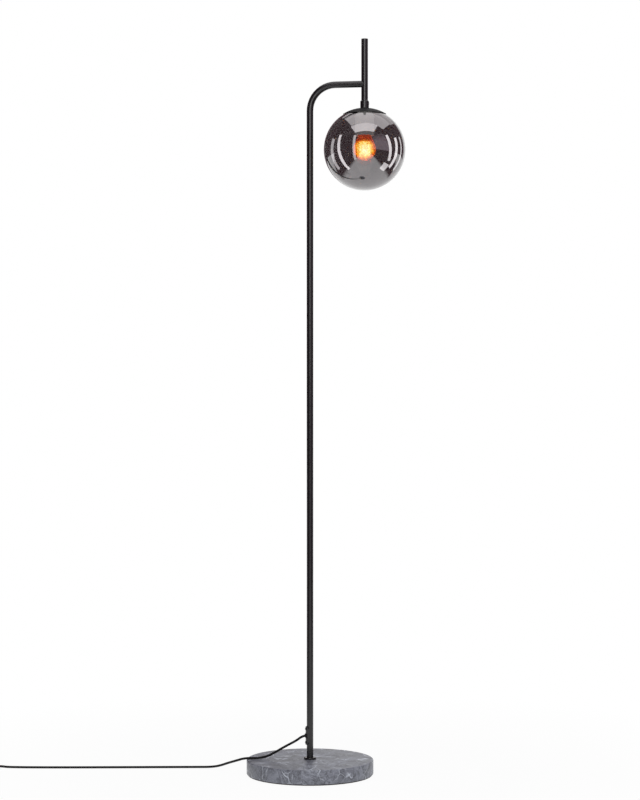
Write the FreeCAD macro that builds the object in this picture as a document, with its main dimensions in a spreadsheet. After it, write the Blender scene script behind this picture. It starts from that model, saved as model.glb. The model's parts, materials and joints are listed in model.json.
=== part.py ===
import FreeCAD, Part
import math
import os
import re
import Sketcher

# A floor lamp: a marble disc, a bent steel tube with a short upright stem at the end of its arm,
# and a mirrored glass globe that hangs under a steel dome on that stem. Millimetres, +Z up.
# The origin is the middle of the base's underside, and the arm points along +X.

V = FreeCAD.Vector
UP = V(0, 0, 1)

doc = FreeCAD.newDocument("GlobeFloorLamp")
sheet = doc.addObject("Spreadsheet::Sheet", "Sizes")
names = []
nodes = {}


# ---------------------------------------------------------------- sizes

SIZES = {
    # Clearances: between fixed pieces that fit in each other, between pieces that rest on each other,
    # and between the button and the lid that it slides in.
    "fit_gap": 0.05,
    "seat_gap": 0.1,
    "slide_gap": 0.1,

    # The base and what clamps the pole to it.
    "base_diameter": 250,
    "marble_thickness": 28,
    "marble_edge": 2.2,
    "marble_foot_edge": 1.2,
    "pad_thickness": 2,
    "pad_margin": 2.5,
    "recess_diameter": 70,
    "recess_depth": 16,
    "stud_diameter": 8,
    "stud_room": 0.5,
    "stud_tip": 1.5,
    "clamp_plate_diameter": 60,
    "clamp_plate_thickness": 4,
    "lock_washer_diameter": 14.8,
    "lock_washer_thickness": 2,
    "lock_washer_split": 1.6,
    "nut_across_flats": 13,
    "nut_height": 6.5,
    "rosette_diameter": 24,
    "rosette_height": 3.8,
    "rosette_edge": 1.4,

    # The tubes. The arm's height is that of its centreline above the floor.
    "tube_diameter": 13,
    "tube_wall": 1.3,
    "bend_radius": 50,
    "arm_height": 1357.6,
    "arm_reach": 109,
    "stem_rise": 88.5,
    "globe_drop": 128.1,
    "foot_plug_length": 28,
    "lead_hole": 7.5,
    "cap_head": 1.8,
    "cap_bevel": 0.5,
    "cap_plug_length": 9,

    # Where the cord leaves the pole.
    "exit_height": 77,
    "exit_turn": 35,
    "exit_hole": 7,
    "plate_height": 37,
    "plate_width": 11,
    "plate_thickness": 2.4,
    "plate_screw_spacing": 27,
    "screw_diameter": 2.4,
    "screw_head_diameter": 4.4,
    "screw_head_height": 1.1,
    "screw_slot": 0.8,
    "grommet_flange_diameter": 8.4,
    "grommet_flange_thickness": 1.2,
    "grommet_nose": 0.9,
    "grommet_nose_step": 0.6,
    "grommet_nose_wall": 0.5,
    "cord_diameter": 4.6,
    "cord_first_reach": 16,
    "lead_diameter": 2,
    "lead_spacing": 2.5,
    "lead_bend": 4,
    "lead_spread_bend": 1.6,
    "lead_spread_drop": 4,
    "lead_clear": 2.4,

    # The dome, the globe and what holds them on the stem.
    "collar_diameter": 17,
    "collar_height": 14,
    "collar_floor": 2.2,
    "collar_chamfer": 1,
    "set_screw_rise": 8.5,
    "set_screw_diameter": 4,
    "set_screw_proud": 0.4,
    "set_screw_slot": 0.8,
    "set_screw_slot_depth": 1,
    "dome_reach": 40.7,
    "dome_rim_gap": 0.5,
    "dome_top_gap": 0.5,
    "dome_wall": 0.8,
    "gasket_inner": 31.5,
    "gasket_outer": 38,
    "globe_diameter": 160,
    "glass_wall": 2.5,
    "glass_hole": 60,
    "nipple_diameter": 10,
    "nipple_bore": 7.6,
    "nipple_grip": 3,
    "nipple_rise": 9,
    "clip_hub": 22,
    "clip_root": 2,
    "clip_hub_thickness": 1,
    "clip_thickness": 0.8,
    "clip_width": 8,
    "clip_reach": 37.5,
    "clip_gap": 0.3,
    "clip_room": 1.8,
    "clip_shoulder": 25,
    "clip_drop": 4.6,
    "clip_foot_rise": 2,
    "clip_arms": 3,
    "thin_nut_across_flats": 14,
    "thin_nut_height": 2.4,

    # The lampholder, hung on the nipple below the thin nut.
    "holder_diameter": 37,
    "holder_wall": 1.8,
    "holder_top_diameter": 24,
    "holder_top_wall": 3.2,
    "holder_cap_height": 15,
    "holder_cap_band": 5,
    "holder_skirt_height": 33.9,
    "holder_foot_bevel": 1,
    "holder_lip": 1.2,
    "core_diameter": 32,
    "core_height": 6,
    "core_seat": 1.2,
    "core_bevel": 1,
    "post_diameter": 5,
    "post_height": 4,
    "post_spacing": 14,
    "post_screw_diameter": 2.4,
    "post_screw_length": 2.2,
    "thread_diameter": 26.4,
    "thread_depth": 1.1,
    "thread_pitch": 3.6,
    "thread_turns": 5,
    "thread_gap": 0.08,
    "thread_lead": 1.6,
    "socket_wall": 0.6,
    "contact_thickness": 0.5,
    "contact_width": 6,
    "contact_length": 18,

    # The bulb. Its neck is where the glass meets the metal cap.
    "bulb_diameter": 45,
    "bulb_wall": 0.8,
    "bulb_neck_diameter": 24,
    "bulb_neck_drop": 27.5,
    "neck_height": 2.5,
    "cap_length": 22,
    "cap_wall": 0.5,
    "cap_shoulder": 1,
    "cap_insulator_height": 2.6,
    "cap_insulator_foot": 17,
    "cap_insulator_top": 10,
    "tip_diameter": 9,
    "tip_height": 1.2,
    "bulb_stem_diameter": 8,
    "bulb_stem_length": 12,
    "bulb_stem_inset": 1,
    "bulb_flare": 4,
    "filament_count": 6,
    "filament_diameter": 1.6,
    "filament_length": 30,
    "filament_circle": 20,
    "support_diameter": 0.7,
    "mast_diameter": 1.4,

    # The foot switch on the cord. Its own frame has its origin on the floor below its middle, and its
    # X axis along the cord, towards the lamp. The split is where its shells meet and the cord's axis lies.
    "switch_x": -695.6,
    "switch_y": -74,
    "switch_turn": 11.9,
    "switch_length": 84,
    "switch_width": 36,
    "switch_height": 19,
    "switch_split": 6,
    "switch_wall": 2,
    "switch_edge": 3.5,
    "switch_foot_edge": 1,
    "sleeve_length": 22,
    "sleeve_root": 8.2,
    "sleeve_tip": 5.8,
    "sleeve_neck": 6.2,
    "sleeve_flange": 7.4,
    "sleeve_flange_thickness": 2.5,
    "button_diameter": 25.6,
    "button_flange": 29,
    "button_flange_thickness": 1.7,
    "button_proud": 3.4,
    "button_edge": 1.2,
    "button_wall": 2.4,
    "button_stop_gap": 0.3,
    "button_travel": 3,
    "plunger_diameter": 4,
    "block_length": 24,
    "block_width": 17,
    "block_height": 6,
    "spring_diameter": 9,
    "spring_wire": 0.8,
    "spring_turns": 4,
    "shell_screw_along": 29,
    "shell_screw_across": 9,
    "shell_screw_diameter": 3,
    "shell_screw_head": 5.6,
    "shell_screw_head_height": 1.2,
    "shell_screw_length": 11,
    "shell_screw_sink": 0.2,
    "shell_boss": 7,

    # The wound cord and the plug at its end, in the switch's frame. The coil's diameter is measured
    # between the middles of its turns, and its turns are those of one layer.
    "coil_x": -125,
    "coil_diameter": 50.6,
    "coil_turns": 3.25,
    "coil_spacing": 5.1,
    "floor_gap": 0.05,
    "plug_x": -99,
    "plug_thickness": 13.7,
    "plug_relief_length": 22,
    "plug_relief_tip": 6.6,
    "plug_relief_root": 10,
    "plug_length": 36,
    "plug_width": 35,
    "plug_shoulder": 16,
    "plug_tail_width": 14,
    "plug_corner": 3.2,
    "plug_edge": 1.6,
    "pin_diameter": 4,
    "pin_length": 19,
    "pin_spacing": 18.6,
    "pin_root": 8,
}

# Each size has a row of the sheet: its words, and its value under its name.
for name, value in SIZES.items():
    names.append(name)
    row = str(len(names))
    sheet.set("A" + row, name.replace("_", " "))
    sheet.set("B" + row, str(value))
    sheet.setAlias("B" + row, name)
doc.recompute()


def size(name):
    """The number that the sheet holds under that name."""
    return float(sheet.get(name))


def bound(sum_text):
    """The same sum with every size's name read from the sheet."""
    def looked_up(word):
        return "Sizes." + word.group() if word.group() in names else word.group()
    return re.sub(r"[a-z][a-z_]*", looked_up, sum_text)


# ---------------------------------------------------------------- shared heights, as sums of sizes

BASE_TOP = "(pad_thickness + marble_thickness)"
RECESS_TOP = "(pad_thickness + recess_depth)"
BORE = "(tube_diameter / 2 - tube_wall)"
CORD = "(cord_diameter / 2)"

# Heights in the globe's own frame, which has its origin at the globe's centre.
GLASS = "(globe_diameter / 2)"
RIM = f"(sqrt({GLASS} ^ 2 - dome_reach ^ 2) + dome_rim_gap)"
DOME_TOP = f"({GLASS} + dome_top_gap)"
DOME_BALL = f"((dome_reach ^ 2 + ({DOME_TOP} - {RIM}) ^ 2) / (2 * ({DOME_TOP} - {RIM})))"
DOME_CENTRE = f"({DOME_TOP} - {DOME_BALL})"
COLLAR_FOOT = f"({DOME_TOP} + dome_wall + fit_gap)"
SET_SCREW_HEIGHT = f"({COLLAR_FOOT} + set_screw_rise)"
SHOULDER = f"({COLLAR_FOOT} + collar_floor)"
HUB_TOP = f"({DOME_CENTRE} + sqrt({DOME_BALL} ^ 2 - (clip_hub / 2) ^ 2 - (clip_width / 2) ^ 2) - fit_gap)"
THIN_NUT_TOP = f"({HUB_TOP} - clip_hub_thickness - fit_gap)"
HOLDER_TOP = f"({THIN_NUT_TOP} - thin_nut_height - fit_gap)"
SKIRT_TOP = f"({HOLDER_TOP} - holder_cap_height)"
SKIRT_FOOT = f"({SKIRT_TOP} - holder_skirt_height)"
NECK = f"({SKIRT_FOOT} + holder_lip)"
CAP_TOP = f"({NECK} + cap_length)"
TIP_TOP = f"({CAP_TOP} + cap_insulator_height + tip_height)"
CORE_FOOT = f"({TIP_TOP} + fit_gap + contact_thickness + fit_gap)"
CORE_TOP = f"({CORE_FOOT} + core_height)"
BULB_CENTRE = f"({NECK} - bulb_neck_drop)"
CAP_BORE = "(thread_diameter / 2 - thread_depth - cap_wall)"

# Heights in the switch's own frame.
LID_UNDER = "(switch_height - switch_wall)"
FLANGE_TOP = f"({LID_UNDER} - button_stop_gap)"
BUTTON_CEILING = "(switch_height + button_proud - button_wall)"
BLOCK_TOP = "(switch_wall + block_height + fit_gap)"
PLUNGER_FOOT = f"({BLOCK_TOP} + button_travel + button_stop_gap)"
SLEEVE_END = "((switch_length - switch_width + sqrt((switch_width - 2 * switch_wall) ^ 2" \
    " - sleeve_flange ^ 2)) / 2 - fit_gap)"
ON_FLOOR = f"({CORD} + floor_gap)"
ON_LAYER = f"({ON_FLOOR} + coil_spacing)"
COIL_OUTER = "(coil_diameter / 2 + coil_turns * coil_spacing / 2)"
PLUG_MIDDLE = "(plug_thickness / 2 + floor_gap)"


# ---------------------------------------------------------------- helpers

def set_bound(thing, **sums):
    """Tie properties to sizes; a double underscore in a name stands for a dot."""
    for name, value in sums.items():
        thing.setExpression(name.replace("__", "."), bound(value))


def keep(label, thing):
    """Name a finished piece, which is then written to its own file."""
    thing.Label = label
    nodes[label] = thing
    return thing


def on_stem(thing):
    """Move a piece from the globe's own frame to its place under the arm's end."""
    set_bound(thing, Placement__Base__x="arm_reach", Placement__Base__z="arm_height - globe_drop")
    return thing


def at_exit(thing):
    """Turn a piece from -X to the side of the pole where the cord leaves."""
    thing.Placement = FreeCAD.Placement(V(), FreeCAD.Rotation(UP, size("exit_turn")))
    set_bound(thing, Placement__Rotation__Angle="exit_turn")
    return thing


def at_switch(thing, along="0", across="0"):
    """Move a piece to a place in the switch's own frame, and turn it as the switch is turned."""
    thing.Placement = FreeCAD.Placement(V(), FreeCAD.Rotation(UP, size("switch_turn")))
    set_bound(thing, Placement__Rotation__Angle="switch_turn",
              Placement__Base__x=f"switch_x + {along} * cos(switch_turn) - {across} * sin(switch_turn)",
              Placement__Base__y=f"switch_y + {along} * sin(switch_turn) + {across} * cos(switch_turn)")
    return thing


def in_switch_frame(along, across, height):
    """A point of the switch's frame as a point of the lamp's frame."""
    turn = FreeCAD.Rotation(UP, size("switch_turn"))
    return V(size("switch_x"), size("switch_y"), 0) + turn.multVec(V(along, across, height))


def origin_plane(body, role):
    return next(f for f in body.Origin.OriginFeatures if f.Role == role)


def outline(body, plane, corners):
    """A closed sketch of straight lines whose corners are pairs of sums."""
    sketch = body.newObject("Sketcher::SketchObject", "Outline")
    sketch.AttachmentSupport = (origin_plane(body, plane), "")
    sketch.MapMode = "FlatFace"
    count = len(corners)
    start = [V(math.cos(2 * math.pi * i / count), math.sin(2 * math.pi * i / count), 0) * 20
             for i in range(count)]
    sketch.addGeometry([Part.LineSegment(start[i], start[(i + 1) % count]) for i in range(count)], False)
    ties = [Sketcher.Constraint("Coincident", i, 2, (i + 1) % count, 1) for i in range(count)]
    for i in range(count):
        ties.append(Sketcher.Constraint("DistanceX", -1, 1, i, 1, start[i].x))
        ties.append(Sketcher.Constraint("DistanceY", -1, 1, i, 1, start[i].y))
    sketch.addConstraint(ties)
    for i, (across, up) in enumerate(corners):
        sketch.setExpression(f"Constraints[{count + 2 * i}]", bound(across))
        sketch.setExpression(f"Constraints[{count + 2 * i + 1}]", bound(up))
    return sketch


def turned(label, corners, plane="XZ_Plane"):
    """A body turned about Z from an outline of (radius, height) corners."""
    body = doc.addObject("PartDesign::Body", label)
    sketch = outline(body, plane, corners)
    turning = body.newObject("PartDesign::Revolution", "Turning")
    turning.Profile = sketch
    turning.ReferenceAxis = (sketch, ["V_Axis"])
    turning.Angle = 360
    sketch.Visibility = False
    return body


def round_edges(body, radius, chosen):
    """Fillet those edges of a body for which chosen(edge) holds."""
    doc.recompute()
    solid = body.Tip
    picked = [f"Edge{i + 1}" for i, edge in enumerate(solid.Shape.Edges) if chosen(edge)]
    rounding = body.newObject("PartDesign::Fillet", "Rounding")
    rounding.Base = (solid, picked)
    set_bound(rounding, Radius=radius)


def at_level(height):
    """A test for the edges that lie level at that height."""
    def test(edge):
        box = edge.BoundBox
        return abs(box.ZMin - height) < 0.01 and abs(box.ZMax - height) < 0.01
    return test


def upright(edge):
    return edge.BoundBox.XLength < 0.01 and edge.BoundBox.YLength < 0.01


def rim_at(radius, height):
    """A test for the circular edge of that radius at that height, in the body's own frame."""
    wanted_radius = value_of(radius)
    wanted_height = value_of(height)

    def test(edge):
        return (isinstance(edge.Curve, Part.Circle)
                and abs(edge.Curve.Radius - wanted_radius) < 0.01
                and abs(edge.Curve.Center.z - wanted_height) < 0.01)
    return test


def value_of(sum_text):
    """The number that a sum of sizes comes to."""
    probe = doc.addObject("App::FeaturePython", "Probe")
    probe.addProperty("App::PropertyFloat", "Value")
    probe.setExpression("Value", bound(sum_text))
    probe.recompute()
    result = float(probe.Value)
    doc.removeObject(probe.Name)
    return result


def primitive(kind, at=("0", "0", "0"), turn=None, **sums):
    """A Part primitive with its sizes and its place tied to the sheet."""
    thing = doc.addObject("Part::" + kind, kind)
    if turn:
        thing.Placement = FreeCAD.Placement(V(), FreeCAD.Rotation(*turn))
    set_bound(thing, **sums)
    set_bound(thing, Placement__Base__x=at[0], Placement__Base__y=at[1], Placement__Base__z=at[2])
    return thing


LIE_ALONG_X = (V(0, 1, 0), 90)
LIE_ALONG_MINUS_X = (V(0, 1, 0), -90)


def rod(radius, height, at=("0", "0", "0"), turn=None):
    return primitive("Cylinder", at, turn, Radius=radius, Height=height)


def cone(low, high, height, at=("0", "0", "0"), turn=None):
    return primitive("Cone", at, turn, Radius1=low, Radius2=high, Height=height)


def ball(radius, at=("0", "0", "0")):
    return primitive("Sphere", at, Radius=radius)


def block(length, width, height, x, z, y=None):
    """A box; without y it is centred on the XZ plane."""
    return primitive("Box", (x, y or f"-({width}) / 2", z), Length=length, Width=width, Height=height)


def cut(base, *tools):
    for tool in tools:
        result = doc.addObject("Part::Cut", "Cut")
        result.Base = base
        result.Tool = tool
        base = result
    return base


def joined(*parts):
    result = doc.addObject("Part::MultiFuse", "Joined")
    result.Shapes = list(parts)
    result.Refine = True
    return result


def shared(first, second):
    result = doc.addObject("Part::Common", "Shared")
    result.Base = first
    result.Tool = second
    return result


def group(*parts):
    """Separate solids of one node, such as a pair of like screws."""
    result = doc.addObject("Part::Compound", "Group")
    result.Links = list(parts)
    return result


def shaped(label, shape):
    """A piece whose shape comes straight from a path."""
    thing = doc.addObject("Part::Feature", label)
    thing.Shape = shape
    return keep(label, thing)


# ---------------------------------------------------------------- tubes along paths

def rounded_wire(points, radii):
    """Straight runs through the points, joined by a tangent arc of its own radius at each corner."""
    edges = []
    last = points[0]
    for before, corner, after, radius in zip(points, points[1:], points[2:], radii):
        back = (before - corner).normalize()
        ahead = (after - corner).normalize()
        half_turn = (math.pi - back.getAngle(ahead)) / 2
        reach = radius * math.tan(half_turn)
        enter = corner + back * reach
        leave = corner + ahead * reach
        inward = (back + ahead).normalize()
        middle = corner + inward * (radius / math.cos(half_turn) - radius)
        edges.append(Part.LineSegment(last, enter).toShape())
        edges.append(Part.Arc(enter, middle, leave).toShape())
        last = leave
    edges.append(Part.LineSegment(last, points[-1]).toShape())
    return Part.Wire(edges)


def tube_on(wire, start, direction, radius):
    """A round solid of that radius along a wire."""
    ring = Part.Wire([Part.makeCircle(radius, start, direction)])
    return wire.makePipeShell([ring], True, False)


def cord_radii(points):
    """The largest arc at each corner: 0.45 of the shorter run, over the tangent of half the turn."""
    radii = []
    for before, corner, after in zip(points, points[1:], points[2:]):
        half_turn = (math.pi - (before - corner).getAngle(after - corner)) / 2
        shorter = min((before - corner).Length, (after - corner).Length)
        radii.append(0.45 * shorter / math.tan(half_turn))
    return radii


def cord_stretch(label, points):
    """A free stretch of cord, with its length, its radii and its volume printed."""
    radius = size("cord_diameter") / 2
    radii = cord_radii(points)
    wire = rounded_wire(points, radii) if radii else Part.Wire([Part.LineSegment(*points).toShape()])
    solid = tube_on(wire, points[0], points[1] - points[0], radius)
    share = solid.Volume / (math.pi * radius ** 2 * wire.Length)
    print(label, "length", round(wire.Length, 1), "volume share", round(share, 4),
          "radii", [round(r) for r in radii])
    return shaped(label, solid)


def arc_edge(start, corner, end):
    """The arc that touches both legs of an even-sided corner, or a line where it is straight."""
    middle = (start + end) * 0.5
    out = corner - middle
    half = (end - start).Length / 2
    if out.Length < 1e-6 * half:
        return Part.LineSegment(start, end).toShape()
    rise = half * math.tan(math.atan2(out.Length, half) / 2)
    return Part.Arc(start, middle + out.normalize() * rise, end).toShape()


def biarc(start, start_way, end, end_way):
    """Two arcs that leave start and reach end along the given unit directions."""
    span = end - start
    ways = start_way + end_way
    lean = start_way.dot(end_way) - 1
    along = span.dot(ways)
    if abs(lean) < 1e-9:
        leg = span.dot(span) / (2 * along)
    else:
        leg = (along - math.sqrt(along ** 2 - 2 * lean * span.dot(span))) / (2 * lean)
    first = start + start_way * leg
    second = end - end_way * leg
    meet = (first + second) * 0.5
    return [arc_edge(start, first, meet), arc_edge(meet, second, end)]


def winding(place, quarters, radius, lead, first_way, last_way):
    """A tube of quarter turns through place(0) to place(quarters), with straight ends of length lead."""
    step = 1e-4
    points = [place(i) for i in range(quarters + 1)]
    ways = [(place(i + step) - place(i - step)).normalize() for i in range(quarters + 1)]
    ways[0] = first_way
    ways[-1] = last_way
    start = points[0] - first_way * lead
    edges = [Part.LineSegment(start, points[0]).toShape()]
    for i in range(quarters):
        edges += biarc(points[i], ways[i], points[i + 1], ways[i + 1])
    edges.append(Part.LineSegment(points[-1], points[-1] + last_way * lead).toShape())
    wire = Part.Wire(edges)
    return wire, tube_on(wire, start, first_way, radius)


def least_gap(wire, diameter):
    """The least clear space between turns that aren't next to each other along the wire."""
    points = wire.discretize(Distance=diameter / 3)
    skip = 7
    return min((a - b).Length for i, a in enumerate(points) for b in points[i + skip:]) - diameter


# ---------------------------------------------------------------- the base

def make_marble_base():
    radius = "base_diameter / 2"
    body = turned("marble_base", [
        ("stud_diameter / 2 + stud_room", RECESS_TOP),
        ("recess_diameter / 2", RECESS_TOP),
        ("recess_diameter / 2", "pad_thickness"),
        (radius, "pad_thickness"),
        (radius, BASE_TOP),
        ("stud_diameter / 2 + stud_room", BASE_TOP),
    ])
    round_edges(body, "marble_edge", rim_at(radius, BASE_TOP))
    round_edges(body, "marble_foot_edge", rim_at(radius, "pad_thickness"))
    keep("marble_base", body)


def make_base_pad():
    body = turned("base_pad", [
        ("0", "0"),
        ("base_diameter / 2 - pad_margin", "0"),
        ("base_diameter / 2 - pad_margin", "pad_thickness"),
        ("0", "pad_thickness"),
    ])
    keep("base_pad", body)


def make_clamp():
    """The plate, the split washer and the nut that pull the stud down, all in the base's recess."""
    hole = "stud_diameter / 2 + fit_gap"
    plate_foot = f"({RECESS_TOP} - fit_gap - clamp_plate_thickness)"
    plate = cut(rod("clamp_plate_diameter / 2", "clamp_plate_thickness", ("0", "0", plate_foot)),
                rod(hole, "clamp_plate_thickness", ("0", "0", plate_foot)))
    keep("clamp_plate", plate)
    washer_foot = f"({plate_foot} - fit_gap - lock_washer_thickness)"
    washer = cut(rod("lock_washer_diameter / 2", "lock_washer_thickness", ("0", "0", washer_foot)),
                 rod(hole, "lock_washer_thickness", ("0", "0", washer_foot)),
                 block("lock_washer_diameter", "lock_washer_split", "lock_washer_thickness",
                       "0", washer_foot))
    keep("lock_washer", washer)
    nut_foot = f"({washer_foot} - fit_gap - nut_height)"
    nut = cut(primitive("Prism", ("0", "0", nut_foot), Circumradius="nut_across_flats / sqrt(3)",
                        Height="nut_height"),
              rod(hole, "nut_height", ("0", "0", nut_foot)))
    keep("base_nut", nut)
    return f"({nut_foot} - stud_tip)"


def make_foot_plug(stud_foot):
    """A turned plug, pressed into the pole's lower end, with the threaded stud below it."""
    plug = rod(f"{BORE} - fit_gap", "foot_plug_length", ("0", "0", BASE_TOP))
    stud = rod("stud_diameter / 2", f"{BASE_TOP} - {stud_foot}", ("0", "0", stud_foot))
    keep("foot_plug_and_stud", joined(plug, stud))


def make_rosette():
    body = turned("foot_rosette", [
        ("tube_diameter / 2 + fit_gap", BASE_TOP),
        ("rosette_diameter / 2", BASE_TOP),
        ("rosette_diameter / 2", f"{BASE_TOP} + rosette_height"),
        ("tube_diameter / 2 + fit_gap", f"{BASE_TOP} + rosette_height"),
    ])
    round_edges(body, "rosette_edge", rim_at("rosette_diameter / 2", f"{BASE_TOP} + rosette_height"))
    keep("foot_rosette", body)


# ---------------------------------------------------------------- the pole, the arm and the stem

def circle_sketch(body, radii, height, x="0"):
    """Circles about one centre in a level plane at that height."""
    sketch = body.newObject("Sketcher::SketchObject", "Circles")
    sketch.AttachmentSupport = (origin_plane(body, "XY_Plane"), "")
    sketch.MapMode = "FlatFace"
    set_bound(sketch, AttachmentOffset__Base__z=height, AttachmentOffset__Base__x=x)
    for radius in radii:
        index = sketch.addGeometry(Part.Circle(V(), UP, 5), False)
        sketch.addConstraint(Sketcher.Constraint("Coincident", index, 3, -1, 1))
        tie = sketch.addConstraint(Sketcher.Constraint("Radius", index, 5))
        sketch.setExpression(f"Constraints[{tie}]", bound(radius))
    return sketch


def pole_path(body):
    """The pole's centreline: up, round the bend and out along the arm."""
    path = body.newObject("Sketcher::SketchObject", "Path")
    path.AttachmentSupport = (origin_plane(body, "XZ_Plane"), "")
    path.MapMode = "FlatFace"
    foot = value_of(BASE_TOP)
    top = size("arm_height")
    bend = size("bend_radius")
    reach = size("arm_reach")
    centre = V(bend, top - bend, 0)
    path.addGeometry([
        Part.LineSegment(V(0, foot, 0), V(0, top - bend, 0)),
        Part.ArcOfCircle(Part.Circle(centre, UP, bend), math.pi / 2, math.pi),
        Part.LineSegment(V(bend, top, 0), V(reach, top, 0)),
    ], False)
    path.addConstraint([
        Sketcher.Constraint("Tangent", 0, 2, 1, 2),
        Sketcher.Constraint("Tangent", 1, 1, 2, 1),
        Sketcher.Constraint("Vertical", 0),
        Sketcher.Constraint("Horizontal", 2),
        Sketcher.Constraint("DistanceX", -1, 1, 0, 1, 0),
        Sketcher.Constraint("DistanceY", -1, 1, 0, 1, foot),
        Sketcher.Constraint("Radius", 1, bend),
        Sketcher.Constraint("DistanceX", -1, 1, 2, 2, reach),
        Sketcher.Constraint("DistanceY", -1, 1, 2, 2, top),
    ])
    for index, value in ((5, BASE_TOP), (6, "bend_radius"), (7, "arm_reach"), (8, "arm_height")):
        path.setExpression(f"Constraints[{index}]", bound(value))
    return path


def drill(body, radius, length, at, turn):
    """A round hole in a body, from a point and along a turned axis."""
    hole = body.newObject("PartDesign::SubtractiveCylinder", "Drilling")
    hole.AttachmentSupport = (origin_plane(body, "XY_Plane"), "")
    hole.MapMode = "FlatFace"
    hole.AttachmentOffset = FreeCAD.Placement(V(), turn)
    set_bound(hole, Radius=radius, Height=length, AttachmentOffset__Base__x=at[0],
              AttachmentOffset__Base__y=at[1], AttachmentOffset__Base__z=at[2])
    return hole


def out_of_pole():
    """The level direction in which the cord leaves the pole."""
    return FreeCAD.Rotation(UP, size("exit_turn")).multVec(V(-1, 0, 0))


def exit_way():
    """The turn that lays an upright axis along the cord's way out of the pole."""
    sideways = FreeCAD.Rotation(V(0, 1, 0), -90)
    return FreeCAD.Rotation(UP, size("exit_turn")).multiply(sideways)


def make_pole():
    body = doc.addObject("PartDesign::Body", "pole_and_arm")
    ring = circle_sketch(body, ("tube_diameter / 2", BORE), BASE_TOP)
    path = pole_path(body)
    doc.recompute()
    tube = body.newObject("PartDesign::AdditivePipe", "Tube")
    tube.Profile = ring
    tube.Spine = (path, ["Edge1", "Edge2", "Edge3"])
    doc.recompute()
    saddle = circle_sketch(body, ("tube_diameter / 2 + fit_gap",), "arm_height + tube_diameter", "arm_reach")
    cope = body.newObject("PartDesign::Pocket", "Cope")
    cope.Profile = saddle
    set_bound(cope, Length="2 * tube_diameter")
    doc.recompute()
    drill(body, "exit_hole / 2", "tube_diameter", ("0", "0", "exit_height"), exit_way())
    for side in ("-1", "1"):
        height = f"exit_height + {side} * plate_screw_spacing / 2"
        drill(body, "screw_diameter / 2 + fit_gap", "tube_diameter", ("0", "0", height), exit_way())
    keep("pole_and_arm", body)


def make_stem():
    """The upright tube that the arm is welded to, with a side hole for the leads."""
    body = doc.addObject("PartDesign::Body", "stem_tube")
    ring = circle_sketch(body, ("tube_diameter / 2", BORE), SHOULDER + " + fit_gap")
    pad = body.newObject("PartDesign::Pad", "Tube")
    pad.Profile = ring
    set_bound(pad, Length=f"globe_drop + stem_rise - cap_head - {SHOULDER} - 2 * fit_gap")
    doc.recompute()
    drill(body, "lead_hole / 2", "tube_diameter", ("0", "0", "globe_drop"),
          FreeCAD.Rotation(V(0, 1, 0), -90))
    keep("stem_tube", on_stem(body))


def make_stem_cap():
    top = "(globe_drop + stem_rise)"
    seat = f"({top} - cap_head)"
    body = turned("stem_top_cap", [
        ("0", f"{seat} - cap_plug_length"),
        (f"{BORE} - fit_gap", f"{seat} - cap_plug_length"),
        (f"{BORE} - fit_gap", seat),
        ("tube_diameter / 2", seat),
        ("tube_diameter / 2", f"{top} - cap_bevel"),
        ("tube_diameter / 2 - cap_bevel", top),
        ("0", top),
    ])
    keep("stem_top_cap", on_stem(body))


# ---------------------------------------------------------------- where the cord leaves

def make_exit_plate():
    """A curved cover plate that hugs the pole, with a hole for the grommet and two for its screws."""
    inner = "(tube_diameter / 2 + fit_gap)"
    outer = "(tube_diameter / 2 + plate_thickness)"
    foot = "(exit_height - plate_height / 2)"
    ring = cut(rod(outer, "plate_height", ("0", "0", foot)), rod(inner, "plate_height", ("0", "0", foot)))
    half_width = "plate_width / 2"
    straight = block(outer, "plate_width", "plate_height - plate_width",
                     f"-{outer}", f"{foot} + {half_width}")
    ends = [rod(half_width, outer, ("0", "0", f"exit_height + {side} * (plate_height - plate_width) / 2"),
                LIE_ALONG_MINUS_X) for side in ("-1", "1")]
    hole = rod("exit_hole / 2", outer, ("0", "0", "exit_height"), LIE_ALONG_MINUS_X)
    screws = [rod("screw_diameter / 2 + fit_gap", outer,
                  ("0", "0", f"exit_height + {side} * plate_screw_spacing / 2"), LIE_ALONG_MINUS_X)
              for side in ("-1", "1")]
    plate = cut(shared(ring, joined(straight, *ends)), hole, *screws)
    keep("cord_exit_plate", at_exit(plate))


def make_plate_screws():
    """Two slotted screws, threaded into the pole's wall."""
    face = "(tube_diameter / 2 + plate_thickness)"
    shank = f"({face} - {BORE} + fit_gap)"
    screws = []
    for side in ("-1", "1"):
        height = f"exit_height + {side} * plate_screw_spacing / 2"
        start = f"-({BORE} - fit_gap)"
        stem = rod("screw_diameter / 2", shank, (start, "0", height), LIE_ALONG_MINUS_X)
        head = rod("screw_head_diameter / 2", "screw_head_height",
                   (f"-{face}", "0", height), LIE_ALONG_MINUS_X)
        slot = block("screw_head_height / 2", "screw_head_diameter", "screw_slot",
                     f"-({face} + screw_head_height)", f"{height} - screw_slot / 2")
        screws.append(cut(joined(stem, head), slot))
    keep("exit_plate_screws", at_exit(group(*screws)))


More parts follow.
